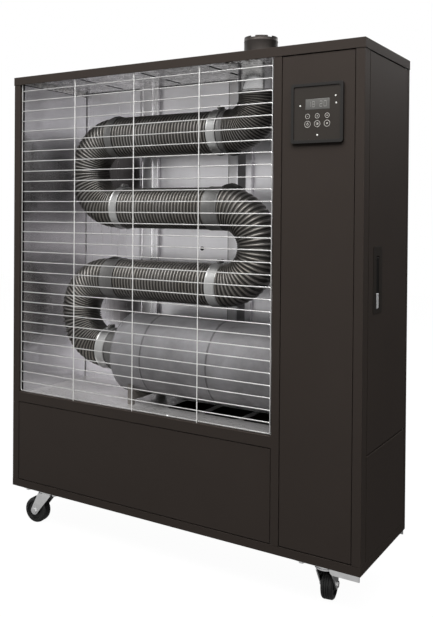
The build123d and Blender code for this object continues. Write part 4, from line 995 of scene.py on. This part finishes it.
clamps = Shape()
for x, height, width in (
    (TOP_CLAMP, TOP_PASS, 24.0),
    (LEFT_CLAMP, MIDDLE_PASS, 23.0),
    (RIGHT_CLAMP, LOWER_PASS, 27.0),
    (LOWER_CLAMP, DRUM_HEIGHT, 27.0),
):
    clamps.slot = BAND_SLOT
    rolled_band(clamps, x, height, width, 1.1)
    clamps.slot = CLIP_SLOT
    worm_screw(clamps, x, height)
hanger(clamps, RIGHT_RAIL_X, TOP_PASS)
hanger(clamps, LEFT_RAIL_X + 12, MIDDLE_PASS)
hanger(clamps, RIGHT_RAIL_X, LOWER_PASS)
saddle(clamps, TOP_CLAMP - 2, TOP_PASS, 22, 5, -1)
stand_in("clamp_bands_rolled", clamps, [BAND, RING], "clamp_bands")

# Combustion drum

DRUM_RADIUS, DRUM_LEFT, DRUM_RIGHT = 96.0, -190.0, 262.0
NECK_END, NECK_RADIUS = -262.0, 45.2


def pressed_seam(middle):
    """A shallow groove pressed round the drum."""
    return [
        (middle - 3.2, DRUM_RADIUS),
        (middle - 2.4, DRUM_RADIUS - 0.8),
        (middle + 2.4, DRUM_RADIUS - 0.8),
        (middle + 3.2, DRUM_RADIUS),
    ]


# From the neck on the left over the shell to the flange at the partition, and back inside
drum_profile = [
    (NECK_END, NECK_RADIUS - 1.5),
    (NECK_END, NECK_RADIUS),
    (-254.4, NECK_RADIUS),
    (-254.4, 50),
    (-193, 50),
    (-190.4, 52),
    (DRUM_LEFT, 56),
    (DRUM_LEFT, 80),
    (-188.6, 86),
    (-185.6, 91.4),
    (-182, 94.4),
    (-180, 95.6),
    (-179.4, 96.8),
    (-177.6, 97.6),
    (-175.4, 97.2),
    (-174.4, DRUM_RADIUS),
    *pressed_seam(-94.0),
    *pressed_seam(89.0),
    (258, DRUM_RADIUS),
    (259.4, 97.2),
    (261.4, 97.2),
    (DRUM_RIGHT, 95),
    (DRUM_RIGHT, 58),
    (263.5, 56),
    (277.75, 56),
    (277.75, 72),
    (280.75, 72),
    (280.75, 54.5),
    (260.5, 54.5),
    (260.5, 94.4),
    (-176, 94.4),
    (-184, 89.6),
    (-188.4, 80),
    (-188.4, 48.5),
    (-252.9, 48.5),
    (-252.9, NECK_RADIUS - 1.5),
]


def drum_finish(place, radius):
    """The slot of the stretch that follows a point: shell, neck or seam."""
    if place < -187 and radius < 90:
        return 1
    if abs(place) < 97 and radius < DRUM_RADIUS - 0.5:
        return 2
    return 0


drum = Shape()
drum.lathe(
    spot(0, TUBE_DEPTH, DRUM_HEIGHT),
    (1, 0, 0),
    drum_profile,
    128,
    close_round=True,
    slots=[drum_finish(*point) for point in drum_profile],
)
stand_in("combustion_drum_turned", drum, [DRUM, RING, SEAM], "combustion_drum")

# Reflectors

LEFT_SHEET, RIGHT_SHEET = -446.0, 280.75
DECK_TOP, CEILING = 237.5, 1030.0
REAR_FACE, STRIP_BACK = 250.1, 249.6
SHEET_THICKNESS = 0.8
RAIL_FRONT, BEAD_FRONT, CHANNEL_FRONT = 238.6, 237.4, 238.2
SHADE_PATCH_EDGE = -255.0


def spread(low, high, count):
    """Even steps from low to high, both ends included."""
    return [low + (high - low) * index / count for index in range(count + 1)]


def ripple(a, b, size, seed):
    """A smooth unevenness between about -1 and 1."""
    return noise.noise(Vector((a / size, b / size, seed)))


def rear_face(x, height):
    """The rear sheet, a little wavy."""
    sway = 0.5 * ripple(x, height * 0.4, 90.0, 1.0) + 0.25 * ripple(x, height * 0.3, 28.0, 2.0)
    return spot(x, REAR_FACE + sway * 0.8, height)


def left_face(depth, height):
    """The left sheet, a little wavy."""
    sway = 0.6 * ripple(depth, height * 0.5, 80.0, 4.0)
    return spot(LEFT_SHEET + 1.0 + sway * 0.5, depth, height)


def upright(x, depth, bevel=0.3):
    """A strip on the rear sheet, as tall as the chamber."""
    rear.block(x, depth, (DECK_TOP, CEILING), bevel)


rear = Shape()
PLAIN, SIDE, DARK, SHADE, BEAD, STRIP, SHADE_PATCHED = range(7)
rows = spread(DECK_TOP, CEILING, 60)
rear.slot = PLAIN
rear.sheet(rear_face, spread(SHADE_PATCH_EDGE, RIGHT_SHEET, 90), rows, SHEET_THICKNESS, (0, -1, 0))
# The left of the rear sheet, with its patches of painted shade
rear.slot = SHADE_PATCHED
rear.sheet(rear_face, spread(LEFT_SHEET, SHADE_PATCH_EDGE, 32), rows, SHEET_THICKNESS, (0, -1, 0))
rear.slot = SIDE
side_rows = spread(DECK_TOP, CEILING - 9.5, 60)
rear.sheet(left_face, spread(13.0, 249.0, 40), side_rows, SHEET_THICKNESS, (1, 0, 0))
# Left rail: a raised hat with four round beads
rear.slot = PLAIN
upright((-250.0, -190.0), (RAIL_FRONT, STRIP_BACK), 0.8)
rear.slot = BEAD
for x, radius in ((-240.5, 2.6), (-209.0, 4.0), (-203.0, 1.2), (-191.0, 1.9)):
    foot = spot(x, BEAD_FRONT + radius, DECK_TOP)
    rear.lathe(foot, (0, 0, 1), ((0, radius), (CEILING - DECK_TOP, radius)), 24)
# Right rail: a bright strip beside it, then a flange, a channel whose shade is painted as a flat
# grey strip, and a wider flange
rear.slot = STRIP
upright((20.4, 46.4), (249.2, 249.9), 0.2)
rear.slot = PLAIN
upright((48.0, 52.5), (RAIL_FRONT, STRIP_BACK), 0.6)
upright((74.5, 91.0), (RAIL_FRONT, STRIP_BACK), 0.6)
rear.slot = SHADE
upright((52.5, 74.5), (CHANNEL_FRONT, STRIP_BACK))
# A line of painted shade in the corner, dark gaps beside the strip, and a blackened screw head
upright((LEFT_SHEET + 1.0, LEFT_SHEET + 2.4), (248.4, 249.8), 0.1)
rear.slot = DARK
upright((46.6, 48.0), (245.0, STRIP_BACK), 0.1)
upright((19.2, 20.2), (249.0, 249.8), 0.1)
screw = spot(-57.0, 249.9, 609.0)
rear.lathe(screw, (0, -1, 0), ((0, 0), (0, 5.2), (1.6, 5.2), (1.9, 4.6), (1.9, 0)), 24)
stand_in(
    "rear_reflector_sheets",
    rear,
    [REFLECTOR, SIDE_REFLECTOR, SOOT_AND_SHADE, SHADE_GREY, RIDGE, FLANGE, SHADE_PATCHED_REFLECTOR],
    "rear_reflector",
)


def applied(made):
    """Replaces an object's mesh by its result with modifiers."""
    depsgraph = bpy.context.evaluated_depsgraph_get()
    result = bpy.data.meshes.new_from_object(made.evaluated_get(depsgraph))
    made.modifiers.clear()
    made.data = result


def cut(made, shape):
    """Cuts a gathered shape out of an object."""
    bmesh.ops.recalc_face_normals(shape.mesh, faces=shape.mesh.faces)
    data = bpy.data.meshes.new("cutter")
    shape.mesh.to_mesh(data)
    shape.mesh.free()
    cutter = bpy.data.objects.new("cutter", data)
    bpy.context.scene.collection.objects.link(cutter)
    modifier = made.modifiers.new("cut", "BOOLEAN")
    modifier.object = cutter
    modifier.solver = "EXACT"
    applied(made)
    bpy.data.objects.remove(cutter)


def crumple(x, depth):
    """How far the ceiling's foil stands off its plane: strong near the front right."""
    corner = min(max((x - 70) / 70, 0), 1) * min(max((110 - depth) / 60, 0), 1)
    strength = 0.7 + 5.2 * corner
    fold = abs(ripple(x, depth, 20.0, 5.0)) + 0.7 * abs(ripple(x, depth, 8.0, 6.0))
    return strength * fold


def refinish(made, material, chosen):
    """Gives the chosen faces of an object a further material."""
    made.data.materials.append(material)
    for polygon in made.data.polygons:
        if chosen(polygon):
            polygon.material_index = len(made.data.materials) - 1


EDGE_DEPTH = (13.5, 249.0)
VENT_XS, VENT_DEPTHS = (-297.5, -110.0, 77.5), (93.5, 190.5)
VENT_HALF_WIDTH, VENT_HALF_LENGTH = 4.5, 35.0
# The foil is crumpled to the right of this place and in front of it
CRUMPLED_FROM = spot(84, 96, 0)

ceiling = Shape()
ceiling.sheet(
    lambda x, depth: spot(x, depth, CEILING - crumple(x, depth)),
    spread(LEFT_SHEET, RIGHT_SHEET, 240),
    spread(13.0, 263.5, 84),
    SHEET_THICKNESS,
    (0, 0, -1),
)
ceiling.block((LEFT_SHEET, LEFT_SHEET + 1.0), EDGE_DEPTH, (CEILING - 8.0, CEILING), 0.2)
# Painted shade: dark strips under the ceiling's left edge and along its rear edge, where it meets
# the sheets
ceiling.slot = 1
ceiling.block((LEFT_SHEET, LEFT_SHEET + 1.6), EDGE_DEPTH, (CEILING - 9.6, CEILING - 8.0), 0.1)
ceiling.block((LEFT_SHEET, RIGHT_SHEET), (248.2, STRIP_BACK), (CEILING - 2.6, CEILING - 0.6), 0.1)
ceiling_made = stand_in("top_reflector_foil", ceiling, [FOIL, SOOT_AND_SHADE], "top_reflector", angle=25)
openings = Shape()
openings.lathe(spot(FLUE_X, TUBE_DEPTH, CEILING - 6), (0, 0, 1), ((0, 52), (12, 52)), 64)
for x in VENT_XS:
    for depth in VENT_DEPTHS:
        openings.block(
            (x - VENT_HALF_WIDTH, x + VENT_HALF_WIDTH),
            (depth - VENT_HALF_LENGTH, depth + VENT_HALF_LENGTH),
            (CEILING - 6, CEILING + 6),
            0,
        )
cut(ceiling_made, openings)
refinish(
    ceiling_made,
    CRUMPLED,
    lambda face: face.material_index == 0
    and face.center.x > CRUMPLED_FROM.x
    and face.center.y < CRUMPLED_FROM.y,
)

stand_foot = spot(0, 0, DECK_TOP + 0.6).z
refinish(dress("floor_deck", DECK, 0.4, 2), STAND, lambda face: face.center.z > stand_foot)

# Flue

connector = Shape()
connector.lathe(
    spot(FLUE_X, TUBE_DEPTH, 0),
    (0, 0, 1),
    (
        (971, 50.3),
        (971, 52.2),
        (972.2, 52.8),
        (974.2, 52.4),
        (975.2, 51.6),
        (1028, 51.5),
        (1030, 51.2),
        (1036, 37.2),
        (1037, 36.5),
        (1052, 36.5),
        (1052, 35.3),
        (1037, 35.3),
        (1029, 50.0),
        (1027, 50.3),
    ),
    128,
    close_round=True,
)
stand_in("flue_connector_turned", connector, STAINLESS, "flue_connector")

TAB_COUNT, TAB_HALF_ANGLE, TAB_FOOT, TAB_RISE = 6, 22, 1091.8, 3.2

collar = Shape()
collar.lathe(
    spot(FLUE_X, TUBE_DEPTH, 0),
    (0, 0, 1),
    (
        (1037, 36.8),
        (1037, 37.6),
        (1040.1, 37.6),
        (1040.1, 50),
        (1041.2, 50),
        (1041.6, 49.4),
        (1041.6, 40.0),
        (1042.5, 38.6),
        (1044, 38),
        (1084, 38),
        (1085.4, 38.5),
        (1086.8, 38.5),
        (1088, 38),
        (1092, 38),
        (1092, 36.8),
    ),
    96,
    close_round=True,
)
for index in range(TAB_COUNT):
    middle = 2 * math.pi * index / TAB_COUNT
    outline = []
    for radius, order in ((38.0, 1), (36.8, -1)):
        for angle in spread(-TAB_HALF_ANGLE, TAB_HALF_ANGLE, 8):
            turn = middle + math.radians(order * angle)
            x, depth = FLUE_X + radius * math.cos(turn), TUBE_DEPTH + radius * math.sin(turn)
            outline.append(spot(x, depth, TAB_FOOT))
    collar.prism(outline, (0, 0, 1), TAB_RISE, 0.25, 1)
stand_in("flue_collar_turned", collar, FLUE, "flue_collar")

# Wire guard

GUARD_LEFT, GUARD_RIGHT, GUARD_DEPTH = -447.7, 267.0, 8.0
GUARD_FOOT, FIRST_WIRE, WIRE_PITCH, WIRE_COUNT = 244.5, 267.4, 25.43, 31
GUARD_HEIGHTS = [GUARD_FOOT] + [FIRST_WIRE + WIRE_PITCH * index for index in range(WIRE_COUNT)]
WIRE_RADIUS, WIRE_SIDES = 1.25, 12
UPRIGHT_XS = spread(GUARD_LEFT, GUARD_RIGHT, 4)[1:-1]
UPRIGHT_DEPTH = 5.3
WELD_BEAD = ((-2.0, 0.4), (-1.3, 1.2), (0, 1.5), (1.3, 1.2), (2.0, 0.4))
FOOT_BEAD = ((-3.6, 0.5), (-3.0, 1.9), (0, 2.3), (3.0, 1.9), (3.6, 0.5))


def rounded_path(corners, radius, steps=8):
    """Points along a broken line whose corners are rounded."""
    path = [corners[0]]
    for before, corner, after in zip(corners, corners[1:], corners[2:]):
        inward = (before - corner).normalized() * radius * MM
        outward = (after - corner).normalized() * radius * MM
        centre = corner + inward + outward
        for index in range(steps + 1):
            turn = math.pi / 2 * index / steps
            path.append(centre - outward * math.cos(turn) - inward * math.sin(turn))
    path.append(corners[-1])
    return path


guard = Shape()
frame_corners = [
    spot(GUARD_LEFT, GUARD_DEPTH, GUARD_HEIGHTS[-1] + 3),
    spot(GUARD_LEFT, GUARD_DEPTH, GUARD_FOOT),
    spot(GUARD_RIGHT, GUARD_DEPTH, GUARD_FOOT),
    spot(GUARD_RIGHT, GUARD_DEPTH, FIRST_WIRE - 0.6),
]
guard.wire(rounded_path(frame_corners, 4), WIRE_RADIUS, WIRE_SIDES)
for index, height in enumerate(GUARD_HEIGHTS[1:], 1):
    xs = spread(GUARD_LEFT, GUARD_RIGHT - 4, 14)
    sag = [ripple(index * 40.0, x, 160.0, 9.0) * 0.25 for x in xs]
    path = [spot(x, GUARD_DEPTH, height + drop) for x, drop in zip(xs[:-1], sag)]
    # The right end turns down to the wire below
    end_corners = [
        spot(xs[-1], GUARD_DEPTH, height),
        spot(GUARD_RIGHT, GUARD_DEPTH, height),
        spot(GUARD_RIGHT, GUARD_DEPTH, GUARD_HEIGHTS[index - 1] + 0.6),
    ]
    guard.wire(path + rounded_path(end_corners, 3.9), WIRE_RADIUS, WIRE_SIDES)
    for x in UPRIGHT_XS:
        bead = spot(x, (UPRIGHT_DEPTH + GUARD_DEPTH) / 2, height)
        guard.lathe(bead, (0, 0, 1), WELD_BEAD, 10)
# The uprights and the foot bead take the lighter wire: painted light
guard.slot = 1
for x in UPRIGHT_XS:
    upright_path = [spot(x, UPRIGHT_DEPTH, height) for height in spread(241.0, 1038.5, 20)]
    guard.wire(upright_path, WIRE_RADIUS, WIRE_SIDES)
guard.lathe(spot(8.2, GUARD_DEPTH - 0.6, GUARD_FOOT), (1, 0, 0), FOOT_BEAD, 12)
stand_in("guard_grille_wires", guard, [WIRE, LIGHTER_WIRE], "guard_grille", angle=60)

# Controls

FACE_DEPTH, PRINT_DEPTH, RIM_DEPTH = -2.0, -2.2, -2.3

face_y = spot(0, FACE_DEPTH, 0).y
refinish(
    dress("control_bezel", BEZEL, 0.7),
    PANEL,
    lambda face: abs(face.center.y - face_y) < 0.3 * MM and face.normal.y < -0.9,
)
dress("latch_housing", LATCH, 0.8)
dress("latch_handle", GRIP, 1.4)
dress("latch_button", CHROME, 1.2)


def disc_ring(shape, x, height, depth, outer, inner, thickness=0.12):
    """A flat printed ring."""
    shape.lathe(
        spot(x, depth, height),
        (0, -1, 0),
        ((0, inner), (0, outer), (thickness, outer), (thickness, inner)),
        40,
        close_round=True,
    )


def patch(shape, x, height, depth, width, tall, thickness=0.12):
    """A flat printed bar."""
    shape.block(
        (x - width / 2, x + width / 2),
        (depth - thickness, depth),
        (height - tall / 2, height + tall / 2),
        0,
    )


KEY_ROWS = (("upper", 893.8, 5.5), ("lower", 878.3, 7.0))
KEY_COLUMNS = (("left", 350.5), ("middle", 371.5), ("right", 392.5))

for row, height, radius in KEY_ROWS:
    for side, x in KEY_COLUMNS:
        node = f"key_{row}_{side}"
        key = Shape()
        key.lathe(
            spot(x, 0, height),
            (0, -1, 0),
            (
                (-1, 0),
                (-1, radius + 1.2),
                (0, radius + 1.2),
                (0, radius),
                (2.0, radius),
                (2.3, radius - 0.25),
                (2.4, radius - 0.7),
                (2.25, radius * 0.5),
                (2.2, 0),
            ),
            48,
        )
        key.slot = 1
        disc_ring(key, x, height, RIM_DEPTH, radius - 0.5, radius - 1.3, 0.16)
        if (row, side) == ("lower", "left"):
            disc_ring(key, x, height, PRINT_DEPTH, 2.4, 1.8)
            patch(key, x, height + 2.2, PRINT_DEPTH - 0.05, 0.7, 2.6)
        elif (row, side) == ("lower", "middle"):
            disc_ring(key, x, height, PRINT_DEPTH, 2.6, 2.0)
            patch(key, x + 1.0, height, PRINT_DEPTH, 1.8, 2.8)
        elif row == "lower":
            patch(key, x, height, PRINT_DEPTH, 2.8, 2.8)
        else:
            patch(key, x, height, PRINT_DEPTH, 3.0, 0.7)
            if side != "left":
                patch(key, x, height, PRINT_DEPTH - 0.01, 0.7, 3.0)
        stand_in(f"{node}_cap", key, [PANEL, INK], node)

PANE_X, PANE_HEIGHT = (345.5, 397.5), (907.0, 928.0)
LIP = 2.0

glass = Shape()
glass.block(PANE_X, (FACE_DEPTH, 0), PANE_HEIGHT, 0.3)
glass.block(
    (PANE_X[0] - LIP, PANE_X[1] + LIP), (0, 1), (PANE_HEIGHT[0] - LIP, PANE_HEIGHT[1] + LIP), 0.2
)
stand_in("display_window_pane", glass, GLASS, "display_window")

# The bars of each figure, clockwise from the top as a to f, with g across the middle
FIGURES = {"0": "abcdef", "1": "bc", "2": "abged", "8": "abcdefg"}
DIGIT_HEIGHT = 917.5
DIGITS = ((354, "1"), (363, "8"), (379, "2"), (388, "0"))


def digit(x, figure, width=5.2, tall=10.5, stroke=1.1):
    """One figure of the display, made of bars."""
    half, left, right = tall / 2, x - width / 2, x + width / 2
    high, low = DIGIT_HEIGHT + half / 2, DIGIT_HEIGHT - half / 2
    bars = {
        "a": (x, DIGIT_HEIGHT + half, width, stroke),
        "b": (right, high, stroke, half),
        "c": (right, low, stroke, half),
        "d": (x, DIGIT_HEIGHT - half, width, stroke),
        "e": (left, low, stroke, half),
        "f": (left, high, stroke, half),
        "g": (x, DIGIT_HEIGHT, width, stroke),
    }
    for name in FIGURES[figure]:
        bar_x, bar_height, bar_width, bar_tall = bars[name]
        patch(digits, bar_x, bar_height, FACE_DEPTH, bar_width - 0.8, bar_tall - 0.4, 0.06)


digits = Shape()
for x, figure in DIGITS:
    digit(x, figure)
piece("display_segments", digits, DIGIT, body_of("display_window"))

LAMP_PLACES = ((334.1, 915.6), (409.9, 931.9), (411.3, 917.5), (371.6, 856.2))

lamps = Shape()
for x, height in LAMP_PLACES:
    lamps.lathe(
        spot(x, FACE_DEPTH, height),
        (0, -1, 0),
        ((-0.4, 0), (-0.4, 1.7), (0.1, 1.7), (0.35, 1.2), (0.45, 0)),
        24,
    )
piece("status_lamps", lamps, LAMP, body_of("control_board"))

# Castors

# Half of the wheel's outline from the hub out to the middle of the tread: offset and radius
HALF_WHEEL = (
    (13, 4.3),
    (13, 12),
    (9, 12.6),
    (9, 21),
    (12.4, 22.5),
    (12.8, 26),
    (11.8, 29),
    (9.8, 30.9),
    (7.4, 31.5),
    (5.8, 31.5),
    (5.2, 30.2),
    (4.2, 30.2),
    (3.6, 31.5),
    (0.8, 31.5),
    (0.3, 30.4),
)
WHEEL_PROFILE = [(-offset, radius) for offset, radius in HALF_WHEEL] + list(reversed(HALF_WHEEL))
# Degrees that each castor has swivelled, as in the source of the solids
SWIVELS = {"front_left": 187.0, "rear_left": 160.0, "front_right": 99.0, "rear_right": 200.0}

dress("castor_plates", ZINC, 0.8)
for corner, angle in SWIVELS.items():
    dress(f"castor_fork_{corner}", ZINC, 0.8)
    node = f"castor_wheel_{corner}"
    low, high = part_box(node)
    turn = math.radians(angle)
    axle = (math.sin(turn), -math.cos(turn), 0)
    wheel = Shape()
    wheel.lathe((low + high) / 2, axle, WHEEL_PROFILE, 96, close_round=True)
    stand_in(f"{node}_turned", wheel, RUBBER, node)

# Floor, background and light

WHITE = (1, 1, 1, 1)


def make_floor():
    """A pale floor: white to the camera, and bright in reflections where it lies in front."""
    slab = Shape()
    slab.block((-6000, 6000), (-5000, 6000), (-BASE_Z - 4, -BASE_Z), 0)
    bmesh.ops.recalc_face_normals(slab.mesh, faces=slab.mesh.faces)
    data = bpy.data.meshes.new("floor")
    slab.mesh.to_mesh(data)
    slab.mesh.free()
    data.materials.append(FLOOR)
    floor = bpy.data.objects.new("floor", data)
    bpy.context.scene.collection.objects.link(floor)
    tree = FLOOR.node_tree
    shader = tree.nodes["Principled BSDF"]
    ray = tree.nodes.new("ShaderNodeLightPath")
    ahead = map_range(tree, coordinate(tree, place_on(tree), "Y"), (0.1, -0.6), (0.0, 0.8))
    shine = combine(tree, "MULTIPLY", ray.outputs["Is Glossy Ray"], ahead)
    glow = combine(tree, "MULTIPLY_ADD", ray.outputs["Is Camera Ray"], 0.97, shine)
    tree.links.new(glow, shader.inputs["Emission Strength"])
    shader.inputs["Emission Color"].default_value = WHITE
    return floor


def make_world():
    """A grey studio sky: white to the camera, and in reflections white in front."""
    world = bpy.data.worlds.new("studio")
    world.use_nodes = True
    bpy.context.scene.world = world
    tree = world.node_tree
    tree.nodes.clear()
    output = tree.nodes.new("ShaderNodeOutputWorld")
    background = tree.nodes.new("ShaderNodeBackground")
    heading = place_on(tree, "Generated")
    greys = ((0.0, (0.10, 0.10, 0.103)), (0.3, (0.18, 0.18, 0.183)), (0.75, (0.55, 0.55, 0.55)))
    sky = ramp(tree, coordinate(tree, heading, "Z"), greys)
    ahead = map_range(tree, coordinate(tree, heading, "Y"), (0.25, -0.35))
    ray = tree.nodes.new("ShaderNodeLightPath")
    shine = combine(tree, "MULTIPLY", ahead, ray.outputs["Is Glossy Ray"])
    reflected = mixed_colour(tree, "MIX", sky.outputs["Color"], WHITE, shine)
    seen = mixed_colour(tree, "MIX", reflected, WHITE, ray.outputs["Is Camera Ray"])
    tree.links.new(seen, background.inputs["Color"])
    tree.links.new(background.outputs["Background"], output.inputs["Surface"])


floor = make_floor()
make_world()


def area_light(name, location, target, size, power):
    data = bpy.data.lights.new(name, "AREA")
    data.shape = "RECTANGLE"
    data.size, data.size_y = size
    data.energy = power
    light = bpy.data.objects.new(name, data)
    bpy.context.scene.collection.objects.link(light)
    light.location = location
    light.rotation_euler = (Vector(target) - Vector(location)).to_track_quat("-Z", "Y").to_euler()


area_light("key", (0.3, -1.35, 2.65), (0.1, 0, 1.1), (2.2, 1.3), 78)
area_light("fill", (2.2, -0.7, 2.5), (0.4, 0, 1.0), (1.4, 1.2), 22)
area_light("top", (0, -0.3, 3.2), (0, 0, 0), (2.0, 1.5), 14)
area_light("rear", (0.4, 2.4, 2.3), (0, 0, 0.7), (2.2, 1.6), 40)
area_light("left", (-2.4, 0.7, 2.2), (-0.4, 0.1, 0.7), (1.4, 1.6), 14)

bpy.context.scene.view_settings.view_transform = "Standard"
